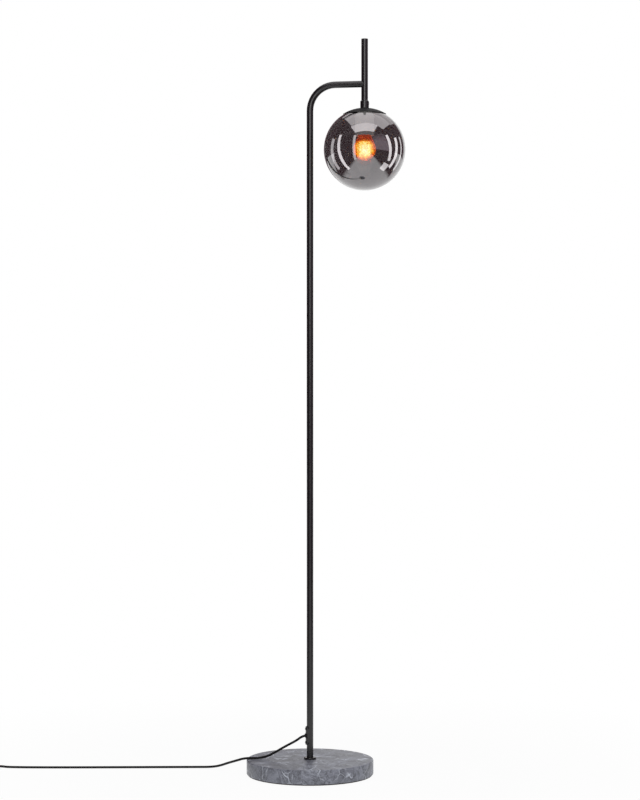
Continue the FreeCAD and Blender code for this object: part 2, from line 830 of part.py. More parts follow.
def make_grommet():
    """A rubber bush through the plate and the pole's wall, with a short tapered nose."""
    face = "(tube_diameter / 2 + plate_thickness)"
    start = f"({BORE} - fit_gap)"
    here = (f"-{start}", "0", "exit_height")
    sleeve = rod("exit_hole / 2 - fit_gap", f"{face} - {start}", here, LIE_ALONG_MINUS_X)
    flange = rod("grommet_flange_diameter / 2", "grommet_flange_thickness",
                 (f"-{face}", "0", "exit_height"), LIE_ALONG_MINUS_X)
    nose_foot = f"-({face} + grommet_flange_thickness)"
    nose = cone("grommet_flange_diameter / 2 - grommet_nose_step", f"{CORD} + grommet_nose_wall",
                "grommet_nose", (nose_foot, "0", "exit_height"), LIE_ALONG_MINUS_X)
    hole = rod(f"{CORD} + fit_gap", "tube_diameter + plate_thickness", here, LIE_ALONG_MINUS_X)
    keep("cord_grommet", at_exit(cut(joined(sleeve, flange, nose), hole)))


def make_inner_leads():
    """The two insulated leads: in at the grommet, up the pole, along the arm and down to the holder."""
    way = out_of_pole()
    start = way * value_of(BORE) + UP * size("exit_height")
    beside = way.cross(UP)
    middle = value_of("arm_height - globe_drop")
    jog = middle + value_of(f"{HOLDER_TOP} - holder_top_wall - lead_clear")
    post = middle + value_of(f"{CORE_TOP} + post_height + 2 * fit_gap")
    top = size("arm_height")
    reach = size("arm_reach")
    bend = size("lead_bend")
    spread_bend = size("lead_spread_bend")
    leads = []
    for side in (-1, 1):
        off = side * size("lead_spacing") / 2
        out = side * size("post_spacing") / 2
        points = [
            start + beside * off,
            UP * size("exit_height") + beside * off,
            V(0, off, top),
            V(reach, off, top),
            V(reach, off, jog),
            V(reach, out, jog - size("lead_spread_drop")),
            V(reach, out, post),
        ]
        radii = [bend, size("bend_radius"), bend, spread_bend, spread_bend]
        wire = rounded_wire(points, radii)
        leads.append(tube_on(wire, points[0], points[1] - points[0], size("lead_diameter") / 2))
    shaped("inner_leads", Part.makeCompound(leads))


# ---------------------------------------------------------------- the globe and its dome

def make_collar():
    top = f"({COLLAR_FOOT} + collar_height)"
    outer = "collar_diameter / 2"
    body = turned("collar", [
        ("nipple_diameter / 2 + fit_gap", COLLAR_FOOT),
        (outer, COLLAR_FOOT),
        (outer, f"{top} - collar_chamfer"),
        (f"{outer} - collar_chamfer", top),
        ("tube_diameter / 2 + fit_gap", top),
        ("tube_diameter / 2 + fit_gap", SHOULDER),
        ("nipple_diameter / 2 + fit_gap", SHOULDER),
    ])
    doc.recompute()
    drill(body, "set_screw_diameter / 2 + fit_gap", "collar_diameter", ("0", "0", SET_SCREW_HEIGHT),
          FreeCAD.Rotation(V(0, 1, 0), 90))
    keep("collar", on_stem(body))


def make_set_screw():
    """The slotted grub screw that locks the collar on the stem; its end shows at the collar's side."""
    start = "(tube_diameter / 2 + fit_gap)"
    length = f"(collar_diameter / 2 + set_screw_proud - {start})"
    screw = rod("set_screw_diameter / 2", length, (start, "0", SET_SCREW_HEIGHT), LIE_ALONG_X)
    slot = block("set_screw_slot_depth", "set_screw_diameter", "set_screw_slot",
                 f"{start} + {length} - set_screw_slot_depth", f"{SET_SCREW_HEIGHT} - set_screw_slot / 2")
    keep("collar_set_screw", on_stem(cut(screw, slot)))


def make_nipple():
    """The hollow threaded tube that carries dome, clip and lampholder on the collar."""
    foot = f"({HOLDER_TOP} - nipple_grip)"
    length = f"({SHOULDER} + nipple_rise - {foot})"
    nipple = cut(rod("nipple_diameter / 2", length, ("0", "0", foot)),
                 rod("nipple_bore / 2", length, ("0", "0", foot)))
    keep("hollow_nipple", on_stem(nipple))


def make_dome():
    """A pressed steel dome: part of a ball a little smaller than the globe, cut level at its rim."""
    centre = ("0", "0", DOME_CENTRE)
    shell = cut(ball(f"{DOME_BALL} + dome_wall", centre), ball(DOME_BALL, centre))
    above = rod("dome_reach + 4 * dome_wall", f"{DOME_TOP} + 2 * dome_wall - {RIM}", ("0", "0", RIM))
    hole = rod("nipple_diameter / 2 + fit_gap", "4 * dome_wall", ("0", "0", f"{DOME_TOP} - dome_wall"))
    keep("dome_cap", on_stem(cut(shared(shell, above), hole)))


def make_gasket():
    """A silicone ring that fills the space between dome and glass."""
    between = cut(ball(f"{DOME_BALL} - fit_gap", ("0", "0", DOME_CENTRE)), ball(f"{GLASS} + fit_gap"))
    ring = cut(rod("gasket_outer", GLASS, ("0", "0", f"{GLASS} / 2")),
               rod("gasket_inner", GLASS, ("0", "0", f"{GLASS} / 2")))
    keep("dome_gasket", on_stem(shared(between, ring)))


def make_globe():
    shell = cut(ball(GLASS), ball(f"{GLASS} - glass_wall"))
    hole = rod("glass_hole / 2", GLASS, ("0", "0", "0"))
    keep("glass_globe", on_stem(cut(shell, hole)))


def make_clip():
    """A spring-steel clip: a hub on the nipple and arms that reach through the glass and spread under it."""
    body = doc.addObject("PartDesign::Body", "globe_clip")
    ring = circle_sketch(body, ("clip_hub / 2", "nipple_diameter / 2 + fit_gap"), HUB_TOP)
    hub = body.newObject("PartDesign::Pad", "Hub")
    hub.Profile = ring
    hub.Reversed = True
    set_bound(hub, Length="clip_hub_thickness")
    tip = f"(sqrt(({GLASS} - glass_wall) ^ 2 - clip_reach ^ 2) - clip_gap)"
    shoulder = f"({HUB_TOP} - clip_drop)"
    knee = "(glass_hole / 2 - clip_room)"
    path = [
        ("clip_hub / 2 - clip_root", HUB_TOP),
        ("clip_hub / 2", HUB_TOP),
        ("clip_shoulder", shoulder),
        (knee, f"{tip} + clip_foot_rise"),
        ("clip_reach", tip),
    ]
    back = [(f"{across} - clip_thickness", f"{up} - clip_thickness") for across, up in reversed(path)]
    sketch = outline(body, "XZ_Plane", path + back)
    arm = body.newObject("PartDesign::Pad", "Arm")
    arm.Profile = sketch
    arm.Midplane = True
    set_bound(arm, Length="clip_width")
    doc.recompute()
    pattern = body.newObject("PartDesign::PolarPattern", "Arms")
    pattern.Originals = [arm]
    pattern.Axis = (ring, ["N_Axis"])
    pattern.Angle = 360
    set_bound(pattern, Occurrences="clip_arms")
    body.Tip = pattern
    keep("globe_clip", on_stem(body))


def make_thin_nut():
    foot = f"({THIN_NUT_TOP} - thin_nut_height)"
    nut = cut(primitive("Prism", ("0", "0", foot), Circumradius="thin_nut_across_flats / sqrt(3)",
                        Height="thin_nut_height"),
              rod("nipple_diameter / 2 + fit_gap", "thin_nut_height", ("0", "0", foot)))
    keep("nipple_nut", on_stem(nut))


# ---------------------------------------------------------------- the lampholder

def make_holder_cap():
    under = f"({HOLDER_TOP} - holder_top_wall)"
    joint = f"({SKIRT_TOP} + fit_gap)"
    outer = "holder_diameter / 2"
    body = turned("holder_cap", [
        ("nipple_diameter / 2 + fit_gap", HOLDER_TOP),
        ("nipple_diameter / 2 + fit_gap", under),
        ("holder_top_diameter / 2 - holder_wall", under),
        (f"{outer} - holder_wall", f"{joint} + holder_cap_band"),
        (f"{outer} - holder_wall", joint),
        (outer, joint),
        (outer, f"{joint} + holder_cap_band"),
        ("holder_top_diameter / 2", HOLDER_TOP),
    ])
    keep("holder_cap", on_stem(body))


def make_holder_skirt():
    outer = "holder_diameter / 2"
    shelf = f"({CORE_FOOT} - fit_gap)"
    body = turned("holder_skirt", [
        (outer, SKIRT_FOOT),
        (outer, SKIRT_TOP),
        (f"{outer} - holder_wall", SKIRT_TOP),
        (f"{outer} - holder_wall", shelf),
        ("core_diameter / 2 - core_seat", shelf),
        ("core_diameter / 2 - core_seat", f"{shelf} - holder_wall"),
        (f"{outer} - holder_wall", f"{shelf} - 2 * holder_wall"),
        (f"{outer} - holder_wall", f"{SKIRT_FOOT} + holder_foot_bevel"),
        (f"{outer} - holder_wall + holder_foot_bevel", SKIRT_FOOT),
    ])
    keep("holder_skirt", on_stem(body))


def make_holder_core():
    """The ceramic disc that carries the contacts and the terminal posts."""
    rim = "core_diameter / 2"
    body = turned("holder_core", [
        ("0", CORE_FOOT),
        (rim, CORE_FOOT),
        (rim, f"{CORE_TOP} - core_bevel"),
        (f"{rim} - core_bevel", CORE_TOP),
        ("0", CORE_TOP),
    ])
    keep("holder_core", on_stem(body))
    posts = []
    screws = []
    for side in ("-1", "1"):
        y = f"{side} * post_spacing / 2"
        posts.append(rod("post_diameter / 2", "post_height", ("0", y, f"{CORE_TOP} + fit_gap")))
        screws.append(rod("post_screw_diameter / 2", "post_screw_length",
                          ("post_diameter / 2 + fit_gap", y, f"{CORE_TOP} + fit_gap + post_height / 2"),
                          LIE_ALONG_X))
    keep("terminal_posts", on_stem(group(*posts)))
    keep("terminal_screws", on_stem(group(*screws)))


def thread_corners(crest, foot, count):
    """Corners of a rounded thread: crests and roots in turn, half a pitch apart."""
    corners = []
    for i in range(2 * count + 1):
        radius = f"{crest} - thread_depth" if i % 2 else crest
        corners.append((radius, f"{foot} + thread_pitch * {i} / 2"))
    return corners


def make_socket():
    """The threaded sleeve that the bulb screws into, and the springy contact above the bulb's tip."""
    turns = round(size("thread_turns"))
    foot = f"({NECK} + thread_lead)"
    top = f"({CORE_FOOT} - fit_gap)"
    crest = "(thread_diameter / 2 + thread_gap)"
    inner = thread_corners(crest, foot, turns)
    outer = [(f"{across} + socket_wall", up) for across, up in reversed(inner)]
    body = turned("socket_sleeve", inner + [(crest, top), (f"{crest} + socket_wall", top)] + outer)
    keep("socket_sleeve", on_stem(body))
    strip_foot = f"({TIP_TOP} + fit_gap)"
    contact = block("contact_length", "contact_width", "contact_thickness",
                    "-contact_length / 2", strip_foot)
    keep("centre_contact", on_stem(group(contact)))


# ---------------------------------------------------------------- the bulb

def make_bulb_cap():
    """The bulb's threaded cap, its glass insulator and the contact at its tip."""
    turns = round(size("thread_turns"))
    crest = "(thread_diameter / 2)"
    root = f"{crest} - thread_depth"
    foot = f"({NECK} + thread_lead)"
    outer = [(root, NECK), (root, f"{foot} - thread_lead / 2")] + thread_corners(crest, foot, turns)
    top = [(root, f"{CAP_TOP} - cap_shoulder"), ("cap_insulator_foot / 2", CAP_TOP)]
    inner = [("cap_insulator_foot / 2 - cap_wall", CAP_TOP),
             (f"{root} - cap_wall", f"{CAP_TOP} - cap_shoulder - cap_wall"), (f"{root} - cap_wall", NECK)]
    keep("bulb_cap", on_stem(turned("bulb_cap", outer + top + inner)))
    insulator = cone("cap_insulator_foot / 2", "cap_insulator_top / 2", "cap_insulator_height",
                     ("0", "0", f"{CAP_TOP} + fit_gap"))
    keep("bulb_cap_insulator", on_stem(group(insulator)))
    tip = cone("tip_diameter / 2", "tip_diameter / 4", "tip_height - fit_gap",
               ("0", "0", f"{TIP_TOP} - tip_height + fit_gap"))
    keep("bulb_tip_contact", on_stem(group(tip)))


def bulb_solid(shrink):
    """The bulb's ball, the taper that touches it and the neck in the cap, smaller all round by shrink."""
    radius = f"(bulb_diameter / 2 - {shrink})"
    rim = f"(bulb_neck_diameter / 2 - {shrink})"
    touch = f"(atan(bulb_neck_drop / {rim}) - acos({radius} / sqrt({rim} ^ 2 + bulb_neck_drop ^ 2)))"
    low = f"{radius} * sin({touch})"
    taper = cone(f"{radius} * cos({touch})", rim, f"bulb_neck_drop - {low}",
                 ("0", "0", f"{BULB_CENTRE} + {low}"))
    neck = rod(f"{CAP_BORE} - fit_gap - {shrink}", "neck_height", ("0", "0", NECK))
    return joined(ball(radius, ("0", "0", BULB_CENTRE)), taper, neck)


def make_bulb_glass():
    keep("bulb_glass", on_stem(cut(bulb_solid("0"), bulb_solid("bulb_wall"))))


def make_bulb_inside():
    """The glass stem, the filaments that stand round it and the wires that hold them."""
    top = f"({NECK} + bulb_stem_inset)"
    stem_foot = f"({top} - bulb_stem_length)"
    flare = cone("bulb_stem_diameter / 2", f"{CAP_BORE} - bulb_wall - 2 * fit_gap", "bulb_flare",
                 ("0", "0", f"{top} - bulb_flare"))
    stem = rod("bulb_stem_diameter / 2", "bulb_stem_length - bulb_flare", ("0", "0", stem_foot))
    keep("bulb_glass_stem", on_stem(joined(flare, stem)))
    low = f"({BULB_CENTRE} - filament_length / 2)"
    high = f"({BULB_CENTRE} + filament_length / 2)"
    mast_foot = f"({low} - mast_diameter - fit_gap)"
    filaments = []
    supports = [rod("mast_diameter / 2", f"{stem_foot} - {mast_foot}", ("0", "0", mast_foot))]
    count = round(size("filament_count"))
    for i in range(count):
        way = V(math.cos(2 * math.pi * (i + 0.5) / count), math.sin(2 * math.pi * (i + 0.5) / count), 0)
        place = (f"{way.x} * filament_circle / 2", f"{way.y} * filament_circle / 2", low)
        filaments.append(rod("filament_diameter / 2", "filament_length", place))
        for height in (f"{low} - support_diameter / 2 - fit_gap",
                       f"{high} + support_diameter / 2 + fit_gap"):
            supports.append(rod("support_diameter / 2", "filament_circle / 2 + filament_diameter / 2",
                                ("0", "0", height), (UP, way)))
    keep("bulb_filaments", on_stem(group(*filaments)))
    keep("bulb_supports", on_stem(joined(*supports)))


# ---------------------------------------------------------------- the foot switch

def slot_sketch(body, length, width, height):
    """A level outline with straight sides and half-round ends."""
    sketch = body.newObject("Sketcher::SketchObject", "Slot")
    sketch.AttachmentSupport = (origin_plane(body, "XY_Plane"), "")
    sketch.MapMode = "FlatFace"
    set_bound(sketch, AttachmentOffset__Base__z=height)
    radius = value_of(f"({width}) / 2")
    reach = value_of(f"(({length}) - ({width})) / 2")
    quarter = math.pi / 2
    sketch.addGeometry([
        Part.ArcOfCircle(Part.Circle(V(reach, 0, 0), UP, radius), -quarter, quarter),
        Part.LineSegment(V(reach, radius, 0), V(-reach, radius, 0)),
        Part.ArcOfCircle(Part.Circle(V(-reach, 0, 0), UP, radius), quarter, 3 * quarter),
        Part.LineSegment(V(-reach, -radius, 0), V(reach, -radius, 0)),
    ], False)
    sketch.addConstraint([
        Sketcher.Constraint("Tangent", 0, 2, 1, 1),
        Sketcher.Constraint("Tangent", 1, 2, 2, 1),
        Sketcher.Constraint("Tangent", 2, 2, 3, 1),
        Sketcher.Constraint("Tangent", 3, 2, 0, 1),
        Sketcher.Constraint("Equal", 0, 2),
        Sketcher.Constraint("PointOnObject", 0, 3, -1),
        Sketcher.Constraint("PointOnObject", 2, 3, -1),
        Sketcher.Constraint("DistanceX", -1, 1, 0, 3, reach),
        Sketcher.Constraint("DistanceX", 2, 3, -1, 1, reach),
        Sketcher.Constraint("Radius", 0, radius),
    ])
    for index in (7, 8):
        sketch.setExpression(f"Constraints[{index}]", bound(f"(({length}) - ({width})) / 2"))
    sketch.setExpression("Constraints[9]", bound(f"({width}) / 2"))
    return sketch


def slot_solid(body, kind, length, width, foot, height):
    """A pad or a pocket of that outline, upward from its foot."""
    feature = body.newObject("PartDesign::" + kind, kind)
    feature.Profile = slot_sketch(body, length, width, foot)
    feature.Reversed = kind == "Pocket"
    set_bound(feature, Length=height)
    doc.recompute()
    return feature


def add_boss(body, foot, height, x, y):
    boss = body.newObject("PartDesign::AdditiveCylinder", "Boss")
    boss.AttachmentSupport = (origin_plane(body, "XY_Plane"), "")
    boss.MapMode = "FlatFace"
    set_bound(boss, Radius="shell_boss / 2", Height=height, AttachmentOffset__Base__x=x,
              AttachmentOffset__Base__y=y, AttachmentOffset__Base__z=foot)


def screw_places():
    """The shells' two screws stand on opposite sides of the cord."""
    return [(f"{side} * shell_screw_along", f"-1 * {side} * shell_screw_across") for side in ("1", "-1")]


NO_TURN = FreeCAD.Rotation()
INNER_LENGTH = "switch_length - 2 * switch_wall"
INNER_WIDTH = "switch_width - 2 * switch_wall"
SCREW_HEAD_TOP = "(shell_screw_sink + shell_screw_head_height)"


def cut_cord_ways(body):
    """One round hole through both ends, half of it in each shell."""
    drill(body, "sleeve_neck / 2 + fit_gap", "switch_length", ("-switch_length / 2", "0", "switch_split"),
          FreeCAD.Rotation(*LIE_ALONG_X))


def make_lower_shell():
    body = doc.addObject("PartDesign::Body", "switch_lower_shell")
    slot_solid(body, "Pad", "switch_length", "switch_width", "0", "switch_split - fit_gap")
    round_edges(body, "switch_foot_edge", at_level(0))
    slot_solid(body, "Pocket", INNER_LENGTH, INNER_WIDTH, "switch_wall", "switch_split")
    cut_cord_ways(body)
    for x, y in screw_places():
        add_boss(body, "switch_wall / 2", "switch_split - fit_gap - switch_wall / 2", x, y)
        drill(body, "shell_screw_diameter / 2 + fit_gap", "switch_height", (x, y, "0"), NO_TURN)
        drill(body, "shell_screw_head / 2 + fit_gap", f"{SCREW_HEAD_TOP} + fit_gap", (x, y, "0"), NO_TURN)
    keep("switch_lower_shell", at_switch(body))


def make_upper_shell():
    body = doc.addObject("PartDesign::Body", "switch_upper_shell")
    slot_solid(body, "Pad", "switch_length", "switch_width", "switch_split", "switch_height - switch_split")
    round_edges(body, "switch_edge", at_level(size("switch_height")))
    slot_solid(body, "Pocket", INNER_LENGTH, INNER_WIDTH, "switch_split", f"{LID_UNDER} - switch_split")
    cut_cord_ways(body)
    drill(body, "button_diameter / 2 + slide_gap", "switch_height", ("0", "0", "switch_split"), NO_TURN)
    for x, y in screw_places():
        add_boss(body, "switch_split", f"{LID_UNDER} + switch_wall / 2 - switch_split", x, y)
        drill(body, "shell_screw_diameter / 2 + fit_gap", "shell_screw_length", (x, y, "0"), NO_TURN)
    keep("switch_upper_shell", at_switch(body))


def make_shell_screws():
    screws = []
    for x, y in screw_places():
        head = rod("shell_screw_head / 2", "shell_screw_head_height", (x, y, "shell_screw_sink"))
        shank = rod("shell_screw_diameter / 2", f"shell_screw_length - {SCREW_HEAD_TOP} - fit_gap",
                    (x, y, SCREW_HEAD_TOP))
        screws.append(joined(head, shank))
    keep("switch_screws", at_switch(group(*screws)))


def make_sleeves():
    """Rubber sleeves that taper onto the cord, each held in the shells by its inner flange."""
    sleeves = []
    for side, turn in (("1", LIE_ALONG_X), ("-1", LIE_ALONG_MINUS_X)):
        flange = rod("sleeve_flange / 2", "sleeve_flange_thickness",
                     (f"{side} * ({SLEEVE_END} - sleeve_flange_thickness)", "0", "switch_split"), turn)
        neck = rod("sleeve_neck / 2", f"switch_length / 2 + fit_gap - {SLEEVE_END}",
                   (f"{side} * {SLEEVE_END}", "0", "switch_split"), turn)
        taper = cone("sleeve_root / 2", "sleeve_tip / 2", "sleeve_length",
                     (f"{side} * (switch_length / 2 + fit_gap)", "0", "switch_split"), turn)
        hole = rod(f"{CORD} + fit_gap", "switch_length", ("0", "0", "switch_split"), turn)
        sleeves.append(cut(joined(flange, neck, taper), hole))
    keep("switch_sleeves", at_switch(group(*sleeves)))


def make_button():
    radius = "button_diameter / 2"
    top = "(switch_height + button_proud)"
    body = turned("switch_button", [
        ("0", PLUNGER_FOOT),
        ("plunger_diameter / 2", PLUNGER_FOOT),
        ("plunger_diameter / 2", BUTTON_CEILING),
        (f"{radius} - button_wall", BUTTON_CEILING),
        (f"{radius} - button_wall", f"{FLANGE_TOP} - button_flange_thickness"),
        ("button_flange / 2", f"{FLANGE_TOP} - button_flange_thickness"),
        ("button_flange / 2", FLANGE_TOP),
        (radius, FLANGE_TOP),
        (radius, top),
        ("0", top),
    ])
    round_edges(body, "button_edge", rim_at(radius, top))
    keep("switch_button", at_switch(body))


def make_switch_inside():
    """The contact block, the spring under the button and the leads between block and cord."""
    contacts = block("block_length", "block_width", "block_height", "-block_length / 2",
                     "switch_wall + fit_gap")
    keep("switch_contact_block", at_switch(group(contacts)))
    radius = size("spring_wire") / 2
    reach = size("spring_diameter") / 2 - radius
    foot = value_of(BLOCK_TOP) + radius + size("seat_gap")
    rise = value_of(BUTTON_CEILING) - radius - size("seat_gap") - foot
    quarters = round(4 * size("spring_turns"))

    def place(i):
        angle = math.pi / 2 * i
        return V(reach * math.cos(angle), reach * math.sin(angle), foot + rise * i / quarters)

    wire, solid = winding(place, quarters, radius, radius, V(0, 1, 0), V(0, 1, 0))
    print("spring least gap", round(least_gap(wire, 2 * radius), 2))
    spring = shaped("switch_spring", solid)
    at_switch(spring)
    leads = []
    length = f"({SLEEVE_END} - sleeve_flange_thickness - block_length / 2 - 2 * fit_gap)"
    for side in ("-1", "1"):
        y = f"{side} * lead_spacing / 2"
        leads.append(rod("lead_diameter / 2", length,
                         ("block_length / 2 + fit_gap", y, "switch_split"), LIE_ALONG_X))
        leads.append(rod("lead_diameter / 2", length,
                         ("-(block_length / 2 + fit_gap)", y, "switch_split"), LIE_ALONG_MINUS_X))
    keep("switch_leads", at_switch(group(*leads)))


# ---------------------------------------------------------------- the plug

def make_plug():
    """A flat two-pin plug that lies on its side by the coil, with a moulded relief round the cord."""
    body = doc.addObject("PartDesign::Body", "plug_body")
    half = "plug_width / 2"
    tail = "plug_tail_width / 2"
    sketch = outline(body, "XY_Plane", [
        ("0", f"-{tail}"),
        ("plug_shoulder", f"-{half}"),
        ("plug_length", f"-{half}"),
        ("plug_length", half),
        ("plug_shoulder", half),
        ("0", tail),
    ])
    set_bound(sketch, AttachmentOffset__Base__z="floor_gap")
    pad = body.newObject("PartDesign::Pad", "Pad")
    pad.Profile = sketch
    set_bound(pad, Length="plug_thickness")
    round_edges(body, "plug_corner", upright)
    top = value_of("floor_gap + plug_thickness")
    round_edges(body, "plug_edge", at_level(top))
    round_edges(body, "plug_edge", at_level(size("floor_gap")))
    doc.recompute()
    for side in ("-1", "1"):
        drill(body, "pin_diameter / 2 + fit_gap", "pin_root + fit_gap",
              ("plug_length - pin_root - fit_gap", f"{side} * pin_spacing / 2", PLUG_MIDDLE),
              FreeCAD.Rotation(*LIE_ALONG_X))
    start = "(plug_x + plug_relief_length)"
    across = f"(2 * {COIL_OUTER})"
    keep("plug_body", at_switch(body, start, across))
    pins = [rod("pin_diameter / 2", "pin_root + pin_length",
                ("plug_length - pin_root", f"{side} * pin_spacing / 2", PLUG_MIDDLE), LIE_ALONG_X)
            for side in ("-1", "1")]
    keep("plug_pins", at_switch(group(*pins), start, across))
    relief = cut(cone("plug_relief_tip / 2", "plug_relief_root / 2", "plug_relief_length - fit_gap",
                      ("0", "0", PLUG_MIDDLE), LIE_ALONG_X),
                 rod(f"{CORD} + fit_gap", "plug_relief_length", ("0", "0", PLUG_MIDDLE), LIE_ALONG_X))
    keep("plug_relief", at_switch(relief, "plug_x", across))


# ---------------------------------------------------------------- the cord

def make_cord_to_switch():
    """From the pole over the base's rim and along the floor into the switch."""
    way = out_of_pole()
    exit_middle = UP * size("exit_height")
    floor = value_of(ON_FLOOR)
    end = value_of(f"{SLEEVE_END} - sleeve_flange_thickness")
    cord_stretch("cord_to_switch", [
        exit_middle + way * value_of(BORE),
        exit_middle + way * size("cord_first_reach"),
        V(-24.9, -13.5, 67.6),
        V(-47.5, -17.9, 56),
        V(-77.8, -21.7, 37.4),
        V(-97.6, -24.6, 32.6),
        V(-125, -27.9, 32.7),
        V(-145.2, -18, 25.2),
        V(-165.8, -3.7, 17.3),
        V(-187.2, 14.6, 7.7),
        V(-207.3, 23.8, 3.2),
        V(-232.7, 23.4, floor),
        in_switch_frame(99, 0, floor),
        in_switch_frame(76, 0, size("switch_split")),
        in_switch_frame(end, 0, size("switch_split")),
    ])


def make_cord_to_coil():
    floor = value_of(ON_FLOOR)
    start = value_of(f"{SLEEVE_END} - sleeve_flange_thickness")
    cord_stretch("cord_from_switch", [
        in_switch_frame(-start, 0, size("switch_split")),
        in_switch_frame(-76, 0, size("switch_split")),
        in_switch_frame(-99, 0, floor),
        in_switch_frame(size("coil_x") + size("cord_diameter"), 0, floor),
    ])


def make_coil():
    """Two layers of turns: in along the floor, up one layer where the spiral reverses, and out again."""
    quarters = round(8 * size("coil_turns"))
    spacing = size("coil_spacing")
    outer = value_of(COIL_OUTER)
    inner = outer - size("coil_turns") * spacing
    floor = value_of(ON_FLOOR)

    def place(i):
        angle = -math.pi / 2 * (i + 1)
        radius = inner + abs(i - quarters / 2) * spacing / 4
        share = min(max((i - quarters / 2 + 1) / 2, 0), 1)
        climb = spacing * share ** 2 * (3 - 2 * share)
        return V(radius * math.cos(angle), outer + radius * math.sin(angle), floor + climb)

    diameter = size("cord_diameter")
    wire, solid = winding(place, quarters, diameter / 2, diameter, V(-1, 0, 0), V(1, 0, 0))
    print("coil length", round(wire.Length, 1), "least gap", round(least_gap(wire, diameter), 2),
          "volume share", round(solid.Volume / (math.pi * diameter ** 2 / 4 * wire.Length), 4))
    at_switch(shaped("cord_coil", solid), "coil_x")


def make_cord_to_plug():
    across = value_of(f"2 * {COIL_OUTER}")
    layer = value_of(ON_LAYER)
    middle = value_of(PLUG_MIDDLE)
    cord_stretch("cord_to_plug", [
        in_switch_frame(size("coil_x") + size("cord_diameter"), across, layer),
        in_switch_frame(-112, across, layer),
        in_switch_frame(-103, across, middle),
        in_switch_frame(size("plug_x") + size("plug_relief_length") - size("fit_gap"), across, middle),
    ])


# ---------------------------------------------------------------- the whole lamp

make_marble_base()
make_base_pad()
make_foot_plug(make_clamp())
make_rosette()
make_pole()
make_stem()
make_stem_cap()
make_exit_plate()
make_plate_screws()
make_grommet()
make_inner_leads()
make_collar()
make_set_screw()
make_nipple()
make_dome()
make_gasket()
make_globe()
make_clip()
make_thin_nut()
make_holder_cap()
make_holder_skirt()
make_holder_core()
make_socket()
make_bulb_cap()
make_bulb_glass()
make_bulb_inside()
make_lower_shell()
make_upper_shell()
make_shell_screws()
make_sleeves()
make_button()
make_switch_inside()
make_cord_to_switch()
make_cord_to_coil()
make_coil()
make_cord_to_plug()
make_plug()

doc.recompute()
failed = [thing.Label for thing in doc.Objects if "Invalid" in thing.State or "Error" in thing.State]
failed += [label for label, thing in nodes.items() if thing.Shape.isNull() or not thing.Shape.isValid()]
if failed:
    raise RuntimeError("These pieces could not be made: " + ", ".join(failed))

os.makedirs("parts", exist_ok=True)
for label, thing in nodes.items():
    thing.Shape.exportStep(f"parts/{label}.step")
    print(label, len(thing.Shape.Solids), round(thing.Shape.Volume, 1))
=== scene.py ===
import json
import math

import bmesh
import bpy
from mathutils import Matrix, Vector

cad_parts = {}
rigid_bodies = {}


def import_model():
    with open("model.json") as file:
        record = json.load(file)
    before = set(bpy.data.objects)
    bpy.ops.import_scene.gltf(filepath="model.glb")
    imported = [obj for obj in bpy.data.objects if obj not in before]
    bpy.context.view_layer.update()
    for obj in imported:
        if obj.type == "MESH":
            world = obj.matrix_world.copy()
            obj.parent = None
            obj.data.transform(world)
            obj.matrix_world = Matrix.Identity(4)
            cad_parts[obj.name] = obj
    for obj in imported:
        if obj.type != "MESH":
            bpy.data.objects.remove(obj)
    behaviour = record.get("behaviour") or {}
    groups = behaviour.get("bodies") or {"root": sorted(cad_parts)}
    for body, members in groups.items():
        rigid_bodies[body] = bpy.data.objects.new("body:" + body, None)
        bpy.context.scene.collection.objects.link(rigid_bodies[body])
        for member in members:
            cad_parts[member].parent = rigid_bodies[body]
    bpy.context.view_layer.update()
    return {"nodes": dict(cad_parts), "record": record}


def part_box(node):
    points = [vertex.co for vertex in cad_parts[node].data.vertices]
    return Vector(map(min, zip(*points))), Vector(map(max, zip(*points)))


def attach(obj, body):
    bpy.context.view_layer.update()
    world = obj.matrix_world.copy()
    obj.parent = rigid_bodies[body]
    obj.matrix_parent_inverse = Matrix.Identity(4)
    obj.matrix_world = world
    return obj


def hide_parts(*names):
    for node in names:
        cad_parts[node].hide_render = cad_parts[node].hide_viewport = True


bl_info = {
    "name": "Globe floor lamp",
    "version": (1, 0, 0),
    "blender": (4, 5, 0),
    "location": "View3D > Sidebar > Globe lamp",
    "description": "Dresses the globe floor lamp: finishes, marble, globe, bulb, cord and stage",
    "category": "Object",
}

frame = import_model()
NODES = frame["nodes"]
MM = 0.001

# The camera stands this far round the pole from the lamp's front, and this far away and this high, in
# metres. It looks at a place this far to the right of the pole and this high, through a lens of this
# many mm.
CAMERA_TURN = math.radians(11)
CAMERA_DISTANCE = 4.265
CAMERA_HEIGHT = 0.781
AIM_RIGHT = 0.0197
AIM_HEIGHT = 0.7386
LENS = 97.4
TO_CAMERA = Vector((math.sin(CAMERA_TURN), -math.cos(CAMERA_TURN), 0))
TO_RIGHT = Vector((math.cos(CAMERA_TURN), math.sin(CAMERA_TURN), 0))
# The middle of the globe.
GLOBE_PLACE = Vector((0.109, 0, 1.2295))

WHITE = "#ffffff"
# The room's dim side and its paler wall, as the globe mirrors them.
DIM_ROOM = "#4f333c"
PALE_WALL = "#b7a4b0"


# ---------------------------------------------------------------- colours and nodes

def linear(colour):
    """A #rrggbb colour as the linear red, green, blue and alpha that Blender's sockets take."""
    parts = [int(colour[i:i + 2], 16) / 255 for i in (1, 3, 5)]
    return (*(p / 12.92 if p <= 0.04045 else ((p + 0.055) / 1.055) ** 2.4 for p in parts), 1.0)


def add(tree, kind, inputs=None, **settings):
    """Add a node with its settings. Each input takes a value, or another node's output to link."""
    made = tree.nodes.new(kind)
    for name, value in settings.items():
        setattr(made, name, value)
    for name, value in (inputs or {}).items():
        if isinstance(value, bpy.types.NodeSocket):
            tree.links.new(value, made.inputs[name])
        else:
            made.inputs[name].default_value = value
    return made


